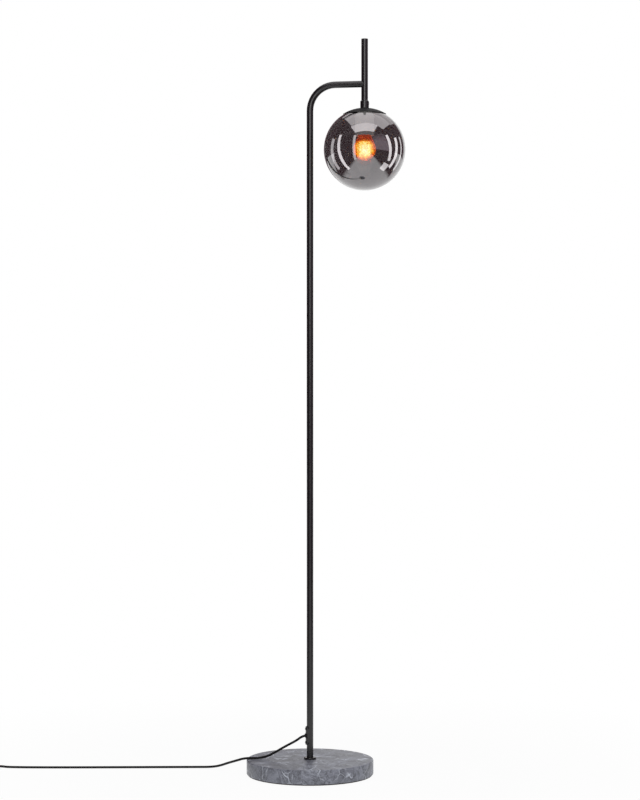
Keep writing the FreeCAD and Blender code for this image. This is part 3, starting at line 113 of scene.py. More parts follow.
def new_material(name):
    """An empty node material, and its tree."""
    made = bpy.data.materials.new(name)
    made.use_nodes = True
    made.node_tree.nodes.clear()
    return made, made.node_tree


def output(tree, shader):
    """Send a shader to the surface."""
    add(tree, "ShaderNodeOutputMaterial", {"Surface": shader})


def ramp(tree, value, *stops):
    """Turn a value into a colour through stops of (place, #rrggbb)."""
    made = add(tree, "ShaderNodeValToRGB", {"Fac": value})
    elements = made.color_ramp.elements
    while len(elements) < len(stops):
        elements.new(0.5)
    for element, (place, colour) in zip(elements, stops):
        element.position = place
        element.color = linear(colour)
    return made.outputs["Color"]


def spread(tree, value, low, high, out_low, out_high):
    """Map a value from one range to another, clamped."""
    return add(tree, "ShaderNodeMapRange", {
        "Value": value, "From Min": low, "From Max": high, "To Min": out_low, "To Max": out_high,
    }).outputs["Result"]


def plain_finish(name, dark, light, patch, grain, depth, rough, shine=()):
    """A finish whose tone drifts from dark to light over patches, and whose skin has a grain.

    Patch, grain and depth are in millimetres, rough is the least and the most roughness, and shine
    holds what else the shader needs.
    """
    made, tree = new_material(name)
    place = add(tree, "ShaderNodeTexCoord").outputs["Object"]
    drift = add(tree, "ShaderNodeTexNoise", {
        "Vector": place, "Scale": 1 / (patch * MM), "Detail": 4.0, "Roughness": 0.55,
    }).outputs["Fac"]
    fine = add(tree, "ShaderNodeTexNoise", {
        "Vector": place, "Scale": 1 / (grain * MM), "Detail": 2.0, "Roughness": 0.5,
    }).outputs["Fac"]
    bump = add(tree, "ShaderNodeBump", {"Height": fine, "Distance": depth * MM, "Strength": 1.0})
    shader = add(tree, "ShaderNodeBsdfPrincipled", {
        "Base Color": ramp(tree, drift, (0.3, dark), (0.7, light)),
        "Roughness": spread(tree, drift, 0.3, 0.7, *rough),
        "Normal": bump.outputs["Normal"],
        **dict(shine),
    })
    output(tree, shader.outputs["BSDF"])
    return made


# ---------------------------------------------------------------- finishes

def powder_coat():
    """Polyester powder baked onto steel: satin black with a faint orange peel that softens light."""
    return plain_finish(
        "powder_coated_steel", "#121214", "#19191b", 60, 1.6, 0.02, (0.22, 0.28),
        {"Specular IOR Level": 0.6})


def grey_marble(settings):
    """Sawn and honed marble: clouded grey, darker drifts, white calcite veins and a fine crystal."""
    made, tree = new_material("honed_grey_marble")
    place = add(tree, "ShaderNodeTexCoord").outputs["Object"]
    warp = add(tree, "ShaderNodeTexNoise", {
        "Vector": place, "Scale": 1 / (55 * MM), "Detail": 3.0, "Roughness": 0.5,
    }).outputs["Color"]
    centred = add(tree, "ShaderNodeVectorMath", {0: warp, 1: (0.5, 0.5, 0.5)}, operation="SUBTRACT")
    pushed = add(tree, "ShaderNodeVectorMath", {
        0: centred.outputs["Vector"], "Scale": 0.05,
    }, operation="SCALE")
    bent = add(tree, "ShaderNodeVectorMath", {0: place, 1: pushed.outputs["Vector"]}, operation="ADD")
    bent = bent.outputs["Vector"]
    cloud = add(tree, "ShaderNodeTexNoise", {
        "Vector": bent, "Scale": 1 / (46 * MM), "Detail": 8.0, "Roughness": 0.62, "Distortion": 0.9,
    }).outputs["Fac"]
    ground = ramp(
        tree, cloud, (0.30, "#3e3f47"), (0.44, "#5f616a"), (0.56, "#787a85"), (0.72, "#969aa6"))
    grit = add(tree, "ShaderNodeTexNoise", {
        "Vector": place, "Scale": 1 / (2.6 * MM), "Detail": 2.0, "Roughness": 0.7,
    }).outputs["Fac"]
    speck = add(tree, "ShaderNodeMix", {
        "Factor": spread(tree, grit, 0.4, 0.75, 0.0, 0.5), "A": ground, "B": linear("#a9acb8"),
    }, data_type="RGBA")
    # Darker drifts that curl through the block.
    curl = add(tree, "ShaderNodeTexNoise", {
        "Vector": bent, "Scale": 1 / (70 * MM), "Detail": 3.0, "Distortion": 2.4,
    }).outputs["Fac"]
    drift = add(tree, "ShaderNodeMath", {0: curl, 1: 0.5}, operation="SUBTRACT").outputs["Value"]
    drift = add(tree, "ShaderNodeMath", {0: drift}, operation="ABSOLUTE").outputs["Value"]
    stone = add(tree, "ShaderNodeMix", {
        "Factor": spread(tree, drift, 0.0, 0.04, 0.6, 0.0),
        "A": speck.outputs["Result"], "B": linear("#3b3c43"),
    }, data_type="RGBA")
    # Veins, with finer ones between them, which show only here and there.
    cells = add(tree, "ShaderNodeTexVoronoi", {
        "Vector": bent, "Scale": 1 / settings.vein_spacing, "Randomness": 1.0,
    }, feature="DISTANCE_TO_EDGE").outputs["Distance"]
    thread = spread(tree, cells, 0.0, 0.035, 1.0, 0.0)
    hairs = add(tree, "ShaderNodeTexVoronoi", {
        "Vector": bent, "Scale": 1 / (settings.vein_spacing * 0.45), "Randomness": 1.0,
    }, feature="DISTANCE_TO_EDGE").outputs["Distance"]
    thread = add(tree, "ShaderNodeMath", {
        0: thread, 1: spread(tree, hairs, 0.0, 0.04, 0.75, 0.0),
    }, operation="MAXIMUM").outputs["Value"]
    where = add(tree, "ShaderNodeTexNoise", {
        "Vector": place, "Scale": 1 / (30 * MM), "Detail": 2.0,
    }).outputs["Fac"]
    shown = add(tree, "ShaderNodeMath", {
        0: thread, 1: spread(tree, where, 0.47, 0.6, 0.0, 0.95),
    }, operation="MULTIPLY").outputs["Value"]
    colour = add(tree, "ShaderNodeMix", {
        "Factor": shown, "A": stone.outputs["Result"], "B": tuple(settings.vein),
    }, data_type="RGBA")
    bump = add(tree, "ShaderNodeBump", {"Height": grit, "Distance": 0.02 * MM, "Strength": 1.0})
    shader = add(tree, "ShaderNodeBsdfPrincipled", {
        "Base Color": colour.outputs["Result"],
        "Roughness": spread(tree, cloud, 0.3, 0.7, 0.34, 0.48),
        "Normal": bump.outputs["Normal"],
    })
    output(tree, shader.outputs["BSDF"])
    return made


def smoked_mirror(settings):
    """Metal evaporated onto smoked glass: a dark half mirror, glossy, that still shows the bulb."""
    made, tree = new_material("smoked_mirror_coat")
    place = add(tree, "ShaderNodeTexCoord").outputs["Object"]
    drift = add(tree, "ShaderNodeTexNoise", {
        "Vector": place, "Scale": 1 / (50 * MM), "Detail": 3.0,
    }).outputs["Fac"]
    wave = add(tree, "ShaderNodeTexNoise", {
        "Vector": place, "Scale": 1 / (28 * MM), "Detail": 1.0,
    }).outputs["Fac"]
    bump = add(tree, "ShaderNodeBump", {"Height": wave, "Distance": 0.05 * MM, "Strength": 1.0})
    shader = add(tree, "ShaderNodeBsdfPrincipled", {
        "Base Color": ramp(tree, drift, (0.3, "#787476"), (0.7, "#827e80")),
        "Metallic": 1.0,
        "Roughness": spread(tree, drift, 0.3, 0.7, 0.01, 0.04),
        "Alpha": 1 - settings.see_through,
        "Coat Weight": 1.0,
        "Coat Roughness": 0.01,
        "Normal": bump.outputs["Normal"],
    })
    output(tree, shader.outputs["BSDF"])
    return made


def bare_glass():
    """The blown wall's inner side: clear, with no more than a faint gloss."""
    made, tree = new_material("clear_blown_glass")
    place = add(tree, "ShaderNodeTexCoord").outputs["Object"]
    drift = add(tree, "ShaderNodeTexNoise", {
        "Vector": place, "Scale": 1 / (35 * MM), "Detail": 1.0,
    }).outputs["Fac"]
    shader = add(tree, "ShaderNodeBsdfPrincipled", {
        "Base Color": ramp(tree, drift, (0.3, "#b5aeb1"), (0.7, "#c2bbbe")),
        "Roughness": spread(tree, drift, 0.3, 0.7, 0.01, 0.03),
        "Alpha": 0.03,
    })
    output(tree, shader.outputs["BSDF"])
    return made


def amber_bulb_glass(settings):
    """Amber glass lit from inside: yellow where it is looked through squarely, deeper where it grazes.

    Its neck, which the filaments don't reach, stays a dark red.
    """
    made, tree = new_material("lit_amber_glass")
    place = add(tree, "ShaderNodeTexCoord").outputs["Object"]
    low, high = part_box("bulb_glass")
    height = add(tree, "ShaderNodeSeparateXYZ", {"Vector": place}).outputs["Z"]
    rise = spread(tree, height, low.z, high.z, 0.0, 1.0)
    flow = add(tree, "ShaderNodeTexNoise", {
        "Vector": place, "Scale": 1 / (6 * MM), "Detail": 4.0, "Distortion": 1.5,
    }).outputs["Fac"]
    depth = add(tree, "ShaderNodeLayerWeight", {"Blend": 0.5}).outputs["Facing"]
    depth = add(tree, "ShaderNodeMath", {
        0: flow, 1: 0.9, 2: depth,
    }, operation="MULTIPLY_ADD").outputs["Value"]
    depth = add(tree, "ShaderNodeMath", {
        0: depth, 1: spread(tree, rise, 0.66, 0.84, -0.45, 0.5),
    }, operation="ADD").outputs["Value"]
    glow = ramp(
        tree, depth,
        (0.0, "#fff2b4"), (0.16, "#ffd860"), (0.3, "#f7a01c"), (0.5, "#d86404"), (0.9, "#9c3408"))
    shader = add(tree, "ShaderNodeBsdfPrincipled", {
        "Base Color": linear("#b8680f"),
        "Roughness": 0.05,
        "Alpha": 0.7,
        "Emission Color": glow,
        "Emission Strength": spread(
            tree, depth, 0.1, 0.9, settings.bulb_glow * 1.4, settings.bulb_glow * 0.75),
    })
    output(tree, shader.outputs["BSDF"])
    return made


def glowing_filament(settings):
    """Filament sticks alight: too bright for any surface to show, and uneven along their length."""
    made, tree = new_material("glowing_filament")
    place = add(tree, "ShaderNodeTexCoord").outputs["Object"]
    wave = add(tree, "ShaderNodeTexNoise", {
        "Vector": place, "Scale": 1 / (1.2 * MM), "Detail": 1.0,
    }).outputs["Fac"]
    shader = add(tree, "ShaderNodeBsdfPrincipled", {
        "Base Color": linear("#f2d38a"),
        "Roughness": 0.6,
        "Emission Color": ramp(tree, wave, (0.3, "#ffc65a"), (0.7, "#ffe9b0")),
        "Emission Strength": settings.filament_glow,
    })
    output(tree, shader.outputs["BSDF"])
    return made


def cord_sheath():
    """Extruded PVC over a mains cord: black and smooth, with a dull shine."""
    return plain_finish(
        "extruded_pvc_cord", "#050506", "#0b0b0c", 40, 1.2, 0.02, (0.5, 0.62),
        {"Specular IOR Level": 0.3})


METAL = {"Metallic": 1.0}

# What plain_finish takes for the dome and for each slot of the record that has no function of its own.
FINISHES = {
    # The dome's own coat of the same black, cured matter.
    "dome_steel": ("matt_powder_coated_steel", "#141416", "#1a1a1c", 60, 1.2, 0.02, (0.5, 0.6),
                   {"Specular IOR Level": 0.15}),
    # Case-hardened screws with a black oxide: dark metal with a dull shine.
    "black_screws": ("black_oxide_screws", "#1c1c1e", "#2c2c30", 3, 0.6, 0.01, (0.32, 0.45), METAL),
    # Foamed EVA under the marble: brown-black, cellular, no shine.
    "pad": ("foamed_eva_pad", "#2c2725", "#403935", 12, 1.5, 0.15, (0.85, 0.95)),
    # Zinc-plated steel: pale, a little blue, cloudy where the plating varies.
    "plain_steel": ("zinc_plated_steel", "#a9adb3", "#c9ccd0", 9, 1.0, 0.01, (0.28, 0.42), METAL),
    # Tempered strip steel: grey with a straw tint.
    "spring_steel": ("tempered_spring_steel", "#7c7a76", "#a09c93", 7, 0.8, 0.005, (0.25, 0.35), METAL),
    # Cast silicone: milky, soft, faintly shining.
    "silicone": ("cast_silicone", "#cfcfca", "#dededa", 10, 1.2, 0.02, (0.45, 0.6)),
    # Moulded rubber: deep black and dusty.
    "black_rubber": ("moulded_rubber", "#0e0e0f", "#171718", 8, 0.8, 0.02, (0.62, 0.78)),
    # PVC insulation on the inner leads: brown, drawn smooth.
    "leads": ("pvc_lead_insulation", "#4a2c1e", "#5a3626", 15, 1.0, 0.01, (0.4, 0.5)),
    # Moulded thermoplastic of the lampholder: warm white, satin, with a painted glow in its wall that
    # stands in for the bulb's light falling on it.
    "holder_plastic": ("moulded_pbt", "#d6d4cf", "#e4e2de", 20, 0.9, 0.015, (0.35, 0.45),
                       {"Emission Color": linear("#e2e0dd"), "Emission Strength": 0.7}),
    # Pressed and fired steatite: off-white, dense, slightly mottled.
    "ceramic": ("fired_steatite", "#ddd8cc", "#ebe7dd", 6, 0.8, 0.02, (0.3, 0.5)),
    # Turned brass: yellow and bright, with a fine grain.
    "brass": ("turned_brass", "#a5823f", "#c09a52", 6, 0.7, 0.008, (0.22, 0.34), METAL),
    # Nickel-plated brass of the bulb's cap: warm silver.
    "bulb_cap_metal": ("nickel_plated_cap", "#b9b6ae", "#d0cdc6", 6, 0.7, 0.008, (0.18, 0.3), METAL),
    # Black glass that insulates the cap's tip: glossy.
    "cap_glass": ("vitrite_insulator", "#121014", "#1e1b20", 5, 1.0, 0.005, (0.08, 0.15)),
    # Drawn wire that carries the filaments: grey, a little oxidised.
    "support_wire": ("drawn_support_wire", "#7d7a75", "#99958e", 4, 0.5, 0.004, (0.25, 0.4), METAL),
    # Moulded ABS of the switch and plug: black with a spark-eroded grain.
    "black_plastic": ("moulded_abs", "#141416", "#1e1e21", 18, 0.7, 0.03, (0.42, 0.55)),
    # Moulded nylon of the contact block: cream.
    "contact_block": ("moulded_nylon", "#cbc4b1", "#dbd5c5", 8, 0.9, 0.015, (0.4, 0.55)),
    # Nickel-plated pins: bright, with a fine grain.
    "pin_metal": ("nickel_plated_pins", "#c0beb8", "#d8d6d0", 5, 0.7, 0.006, (0.16, 0.26), METAL),
}


# ---------------------------------------------------------------- modelling by hand

def nothing_selected():
    """Leave edit mode and let go of everything."""
    if bpy.context.object is not None and bpy.context.object.mode != "OBJECT":
        bpy.ops.object.mode_set(mode="OBJECT")
    bpy.ops.object.select_all(action="DESELECT")


def choose(kind, test):
    """In edit mode, select the faces, edges or verts that pass a test, and nothing else."""
    mesh = bpy.context.object.data
    shape = bmesh.from_edit_mesh(mesh)
    bpy.context.tool_settings.mesh_select_mode = (kind == "verts", kind == "edges", kind == "faces")
    for group in (shape.verts, shape.edges, shape.faces):
        for element in group:
            element.select = False
    for element in list(getattr(shape, kind)):
        if test(element):
            element.select_set(True)
    bmesh.update_edit_mesh(mesh)


def settle(name, slot, body, *replaced):
    """Name the piece just modelled, put its place in its mesh, and fit it to its body; the slot it is
    given is not used.
    """
    piece = bpy.context.object
    if piece.mode != "OBJECT":
        bpy.ops.object.mode_set(mode="OBJECT")
    bpy.ops.object.transform_apply(location=True, rotation=True, scale=True)
    piece.name = name
    piece.data.name = name
    bpy.ops.object.shade_smooth_by_angle(angle=math.radians(35))
    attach(piece, body)
    if replaced:
        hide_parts(*replaced)
    return piece


def apply_modifier(kind, **settings):
    """Add a modifier to the piece in hand and apply it."""
    made = bpy.context.object.modifiers.new(kind.title(), kind)
    for name, value in settings.items():
        setattr(made, name, value)
    bpy.ops.object.modifier_apply(modifier=made.name)


# ---------------------------------------------------------------- settings

class MarbleSettings(bpy.types.PropertyGroup):
    """The marble disc's edges and veins."""
    edge: bpy.props.FloatProperty(
        name="Top edge", description="Radius of the disc's top edge",
        default=2.2 * MM, unit="LENGTH")
    foot_edge: bpy.props.FloatProperty(
        name="Foot edge", description="Radius of the disc's lower edge",
        default=1.2 * MM, unit="LENGTH")
    vein_spacing: bpy.props.FloatProperty(
        name="Vein spacing", description="Usual distance between two veins",
        default=42 * MM, unit="LENGTH")
    vein: bpy.props.FloatVectorProperty(
        name="Vein colour", description="Colour of the calcite veins",
        default=linear("#d3d8e4"), size=4, subtype="COLOR")


class GlobeSettings(bpy.types.PropertyGroup):
    """The globe's glass and what glows in it."""
    wall: bpy.props.FloatProperty(
        name="Wall", description="Thickness of the glass", default=2.5 * MM, unit="LENGTH")
    hole: bpy.props.FloatProperty(
        name="Hole", description="Diameter of the hole in the globe's top",
        default=60 * MM, unit="LENGTH")
    see_through: bpy.props.FloatProperty(
        name="See through", description="Share of light that passes the mirror coat",
        default=0.15, subtype="FACTOR", min=0, max=1)
    bulb_glow: bpy.props.FloatProperty(
        name="Bulb glow", description="Strength of the light that fills the bulb's glass", default=4.5)
    filament_glow: bpy.props.FloatProperty(
        name="Filament glow", description="Strength of the filaments' own light", default=18)


class CordSettings(bpy.types.PropertyGroup):
    """The mains cord."""
    diameter: bpy.props.FloatProperty(
        name="Diameter", description="Outer diameter of the cord", default=4.6 * MM, unit="LENGTH")


class StageSettings(bpy.types.PropertyGroup):
    """The light that the lamp is seen in."""
    strip_light: bpy.props.FloatProperty(
        name="Strips", description="Brightness of the strip lights, where white paper is 1", default=3)
    top_light: bpy.props.FloatProperty(
        name="Top light", description="Brightness of the light overhead", default=2)
    fill_light: bpy.props.FloatProperty(
        name="Fill", description="Brightness of the soft light by the camera", default=2.4)
    bounce: bpy.props.FloatProperty(
        name="Bounce", description="Light that the pale room sends back from all sides", default=0.42)


class LampSettings(bpy.types.PropertyGroup):
    """All that the lamp's panel sets."""
    marble: bpy.props.PointerProperty(
        type=MarbleSettings, name="Marble", description="The marble disc")
    globe: bpy.props.PointerProperty(
        type=GlobeSettings, name="Globe", description="The globe and its bulb")
    cord: bpy.props.PointerProperty(
        type=CordSettings, name="Cord", description="The mains cord")
    stage: bpy.props.PointerProperty(
        type=StageSettings, name="Stage", description="The studio's light")


# ---------------------------------------------------------------- stage

# The floor is this wide, and lies this far below the lamp, so that no two faces share a plane.
FLOOR_WIDTH = 24
FLOOR_DROP = 0.5 * MM
# How far the lit ceiling hangs above the globe's middle.
CEILING_RISE = 1.2


class LAMP_OT_stage(bpy.types.Operator):
    """Set up the camera, the floor, the background and the lights"""
    bl_idname = "lamp.stage"
    bl_label = "Build the stage"

    def execute(self, context):
        self.place_camera(context)
        self.lay_floor()
        self.paint_world(context)
        settings = context.scene.lamp.stage
        # Strips that stand round the globe, each with its share of the strips' brightness, its width,
        # and its upper and its lower end: the angle from the camera's direction, how far out, and how
        # high.
        for name, share, width, upper, lower in (
                ("strip_left_front", 0.6, 0.2, (-31, 1.5, 2.2), (-31, 1.5, 0.3)),
                ("strip_left", 1.0, 0.19, (-80, 1.3, 2.0), (-70, 0.95, 0.05)),
                ("strip_left_back", 0.5, 0.28, (-102, 1.3, 1.7), (-108, 1.3, 0.3)),
                ("strip_right", 1.0, 0.21, (69, 1.3, 2.0), (78, 1.3, 0.6)),
                ("strip_right_back", 1.1, 0.24, (99, 1.3, 1.75), (96, 1.3, 0.3)),
                ("strip_right_far", 0.6, 0.16, (121, 1.3, 1.7), (121, 1.3, 0.5)),
                ("strip_low_right", 0.8, 0.42, (76, 1.05, 0.55), (76, 0.9, 0.15))):
            ends = [self.round_globe(*upper), self.round_globe(*lower)]
            self.hang_strip(name, settings.strip_light * share, width, *ends)
        # A lit ceiling in three bands, which grow brighter towards the camera: each one's share, its
        # reach to the left and the right, and its near and its far edge.
        for name, share, left, right, near, far in (
                ("ceiling_front", 1.0, -0.76, 0.68, 1.16, 0.4),
                ("ceiling_middle", 0.65, -0.78, 1.05, 0.4, -0.6),
                ("ceiling_back", 0.4, -0.8, 1.1, -0.6, -1.5)):
            middle = GLOBE_PLACE + TO_RIGHT * (left + right) / 2
            rise = Vector((0, 0, CEILING_RISE))
            ends = [middle + TO_CAMERA * ahead + rise for ahead in (far, near)]
            self.hang_strip(name, settings.top_light * share, right - left, *ends)
        self.stand_fill(settings.fill_light)
        context.scene.view_settings.view_transform = "Standard"
        return {"FINISHED"}

    def place_camera(self, context):
        """Stand the camera where the photograph was taken from."""
        lens = bpy.data.cameras.new("camera")
        lens.lens = LENS
        lens.clip_end = 50
        camera = bpy.data.objects.new("camera", lens)
        camera.location = TO_CAMERA * CAMERA_DISTANCE + Vector((0, 0, CAMERA_HEIGHT))
        aim = TO_RIGHT * AIM_RIGHT + Vector((0, 0, AIM_HEIGHT))
        camera.rotation_euler = (aim - camera.location).to_track_quat("-Z", "Y").to_euler()
        context.scene.collection.objects.link(camera)
        context.scene.camera = camera

    def lay_floor(self):
        """A pale floor that the camera sees as white far out, and with the lamp's shadow near it."""
        nothing_selected()
        bpy.ops.mesh.primitive_plane_add(size=FLOOR_WIDTH, location=(0, 0, -FLOOR_DROP))
        floor = bpy.context.object
        floor.name = "floor"
        bpy.ops.object.transform_apply(location=True)
        made, tree = new_material("pale_studio_floor")
        place = add(tree, "ShaderNodeTexCoord").outputs["Object"]
        away = add(tree, "ShaderNodeVectorMath", {0: place}, operation="LENGTH").outputs["Value"]
        ray = add(tree, "ShaderNodeLightPath")
        mirrored = add(tree, "ShaderNodeMath", {
            0: ray.outputs["Is Glossy Ray"], 1: ray.outputs["Is Transmission Ray"],
        }, operation="MAXIMUM").outputs["Value"]
        share = add(tree, "ShaderNodeMath", {
            0: spread(tree, away, 0.4, 1.1, 0.94, 1.0), 1: ray.outputs["Is Camera Ray"],
        }, operation="MULTIPLY").outputs["Value"]
        share = add(tree, "ShaderNodeMath", {
            0: share, 1: mirrored,
        }, operation="MAXIMUM").outputs["Value"]
        # The pale sweep under the lamp ends to the left and right, and goes on behind it.
        across = add(tree, "ShaderNodeVectorMath", {0: place, 1: TO_RIGHT}, operation="DOT_PRODUCT")
        across = add(tree, "ShaderNodeMath", {
            0: across.outputs["Value"], 1: 0.2,
        }, operation="SUBTRACT").outputs["Value"]
        across = add(tree, "ShaderNodeMath", {0: across}, operation="ABSOLUTE").outputs["Value"]
        ahead = add(tree, "ShaderNodeVectorMath", {0: place, 1: TO_CAMERA}, operation="DOT_PRODUCT")
        sweep = add(tree, "ShaderNodeMath", {
            0: spread(tree, across, 0.95, 1.25, 1.0, 0.0),
            1: spread(tree, ahead.outputs["Value"], -1.4, -1.1, 1.0, 0.0),
        }, operation="MAXIMUM").outputs["Value"]
        pale = add(tree, "ShaderNodeMath", {
            0: sweep, 1: ray.outputs["Is Camera Ray"],
        }, operation="MAXIMUM").outputs["Value"]
        tone = add(tree, "ShaderNodeMix", {
            "Factor": pale, "A": linear(DIM_ROOM), "B": linear(WHITE),
        }, data_type="RGBA").outputs["Result"]
        matt = add(tree, "ShaderNodeBsdfDiffuse", {"Color": linear("#e9e9e9")}).outputs["BSDF"]
        white = add(tree, "ShaderNodeEmission", {"Color": tone, "Strength": 1.0}).outputs["Emission"]
        output(tree, add(tree, "ShaderNodeMixShader", {0: share, 1: matt, 2: white}).outputs["Shader"])
        floor.data.materials.append(made)

    def paint_world(self, context):
        """White to the eye, and a dim warm room with a white backdrop for the globe to mirror."""
        world = bpy.data.worlds.new("studio")
        world.use_nodes = True
        context.scene.world = world
        tree = world.node_tree
        tree.nodes.clear()
        way = add(tree, "ShaderNodeTexCoord").outputs["Generated"]
        # A pale wall stands in front and to the right, and a white backdrop behind and to the right.
        wall = add(tree, "ShaderNodeVectorMath", {
            0: way, 1: (TO_CAMERA + TO_RIGHT).normalized(),
        }, operation="DOT_PRODUCT").outputs["Value"]
        room = add(tree, "ShaderNodeMix", {
            "Factor": spread(tree, wall, 0.78, 0.94, 0.0, 1.0),
            "A": linear(DIM_ROOM), "B": linear(PALE_WALL),
        }, data_type="RGBA").outputs["Result"]
        right = add(tree, "ShaderNodeVectorMath", {0: way, 1: TO_RIGHT}, operation="DOT_PRODUCT")
        behind = add(tree, "ShaderNodeVectorMath", {0: way, 1: -TO_CAMERA}, operation="DOT_PRODUCT")
        backdrop = add(tree, "ShaderNodeMath", {
            0: spread(tree, right.outputs["Value"], -0.12, 0.02, 0.0, 1.0),
            1: spread(tree, behind.outputs["Value"], 0.74, 0.84, 0.0, 1.0),
        }, operation="MULTIPLY").outputs["Value"]
        shade = add(tree, "ShaderNodeMix", {
            "Factor": backdrop, "A": room, "B": linear(WHITE),
        }, data_type="RGBA").outputs["Result"]
        ray = add(tree, "ShaderNodeLightPath")
        mirrored = add(tree, "ShaderNodeMath", {
            0: ray.outputs["Is Glossy Ray"], 1: ray.outputs["Is Transmission Ray"],
        }, operation="MAXIMUM").outputs["Value"]
        bounce = add(tree, "ShaderNodeBackground", {
            "Color": linear(WHITE), "Strength": context.scene.lamp.stage.bounce,
        }).outputs["Background"]
        seen = add(tree, "ShaderNodeBackground", {
            "Color": shade, "Strength": 1.0,
        }).outputs["Background"]
        white = add(tree, "ShaderNodeBackground", {
            "Color": linear(WHITE), "Strength": 1.0,
        }).outputs["Background"]
        first = add(tree, "ShaderNodeMixShader", {0: mirrored, 1: bounce, 2: seen}).outputs["Shader"]
        second = add(tree, "ShaderNodeMixShader", {
            0: ray.outputs["Is Camera Ray"], 1: first, 2: white,
        }).outputs["Shader"]
        add(tree, "ShaderNodeOutputWorld", {"Surface": second})

    def round_globe(self, angle, distance, height):
        """A place round the globe, by its angle from the camera's direction, distance and height."""
        turn = math.radians(angle)
        way = TO_CAMERA * math.cos(turn) + TO_RIGHT * math.sin(turn)
        return Vector((GLOBE_PLACE.x, 0, height)) + way * distance

    def stand_fill(self, brightness):
        """A soft oval light by the camera, which faces the floor under the globe."""
        made = self.new_light("fill_light", brightness, (2.0, 2.2))
        # The oval sends out as much as its rectangle would, so it is brighter by 4 / pi.
        made.data.shape = "ELLIPSE"
        made.location = TO_CAMERA * 3.2 + Vector((0, 0, 1.75))
        way = Vector((GLOBE_PLACE.x, 0, 0)) - made.location
        made.rotation_euler = way.to_track_quat("-Z", "Y").to_euler()

    def hang_strip(self, name, brightness, width, upper, lower):
        """A long narrow light between two places, turned to face the globe."""
        made = self.new_light(name, brightness, (width, (upper - lower).length))
        made.location = (upper + lower) / 2
        along = (upper - lower).normalized()
        back = made.location - GLOBE_PLACE
        back = (back - along * back.dot(along)).normalized()
        made.rotation_euler = Matrix((along.cross(back), along, back)).transposed().to_euler()

    def new_light(self, name, brightness, size):
        """A rectangular light as bright as given, which the camera itself doesn't see."""
        light = bpy.data.lights.new(name, "AREA")
        light.shape = "RECTANGLE"
        light.size, light.size_y = size
        light.energy = brightness * math.pi * size[0] * size[1]
        made = bpy.data.objects.new(name, light)
        made.visible_camera = False
        bpy.context.scene.collection.objects.link(made)
        return made


# ---------------------------------------------------------------- cords

# The foot switch lies here, in metres, turned this much about Z.
SWITCH_PLACE = Vector((-0.6956, -0.074, 0))
SWITCH_TURN = math.radians(11.9)

# Lengths from here to the end of the cords are in mm. The cord comes out of the pole's bore at this
# height and this far round from its back, and runs straight to this far from the pole's middle.
EXIT_HEIGHT = 77
EXIT_TURN = math.radians(35)
TUBE_BORE = 5.2
FIRST_REACH = 16
# The coil, measured between the middles of its turns. Its turns are those of one layer.
COIL_X = -125
COIL_DIAMETER = 50.6
COIL_TURNS = 3.25
COIL_SPACING = 5.1
COIL_OUTER = COIL_DIAMETER / 2 + COIL_TURNS * COIL_SPACING / 2
COIL_INNER = COIL_OUTER - COIL_TURNS * COIL_SPACING
# The cord meets the coil a cord's width beside its middle, and leaves it on its far side.
COIL_DOOR = COIL_X + 4.6
COIL_FAR_SIDE = 2 * COIL_OUTER
# With twelve points a turn, the line runs at this share of the points' radius.
LINE_SHARE = 0.966
# Heights of the cord's middle: on the floor, on the coil's second layer, in the switch, in the plug.
ON_FLOOR = 2.35
ON_LAYER = ON_FLOOR + COIL_SPACING
IN_SWITCH = 6
IN_PLUG = 6.9
# The cord ends in the switch's shells this far from its middle, and in the plug's relief at this x.
SWITCH_END = 37.016
PLUG_END = -77.05


def by_switch(x, y, z):
    """A place given from the middle of the foot switch, with x along it towards the lamp, in mm."""
    turned = Vector((
        x * math.cos(SWITCH_TURN) - y * math.sin(SWITCH_TURN),
        x * math.sin(SWITCH_TURN) + y * math.cos(SWITCH_TURN), z))
    return SWITCH_PLACE + turned * MM


def coil_points():
    """The coil of spare cord: it winds in along the floor, steps up a layer, and winds out again."""
    points = []
    quarters = round(8 * COIL_TURNS)
    for step in range(quarters * 3 + 1):
        quarter = step / 3
        angle = -math.pi / 2 * (quarter + 1)
        radius = (COIL_INNER + abs(quarter - quarters / 2) * COIL_SPACING / 4) / LINE_SHARE
        share = min(max((quarter - quarters / 2 + 1) / 2, 0), 1)
        rise = COIL_SPACING * share * share * (3 - 2 * share)
        points.append(by_switch(
            COIL_X + radius * math.cos(angle), COIL_OUTER + radius * math.sin(angle), ON_FLOOR + rise))
    return points


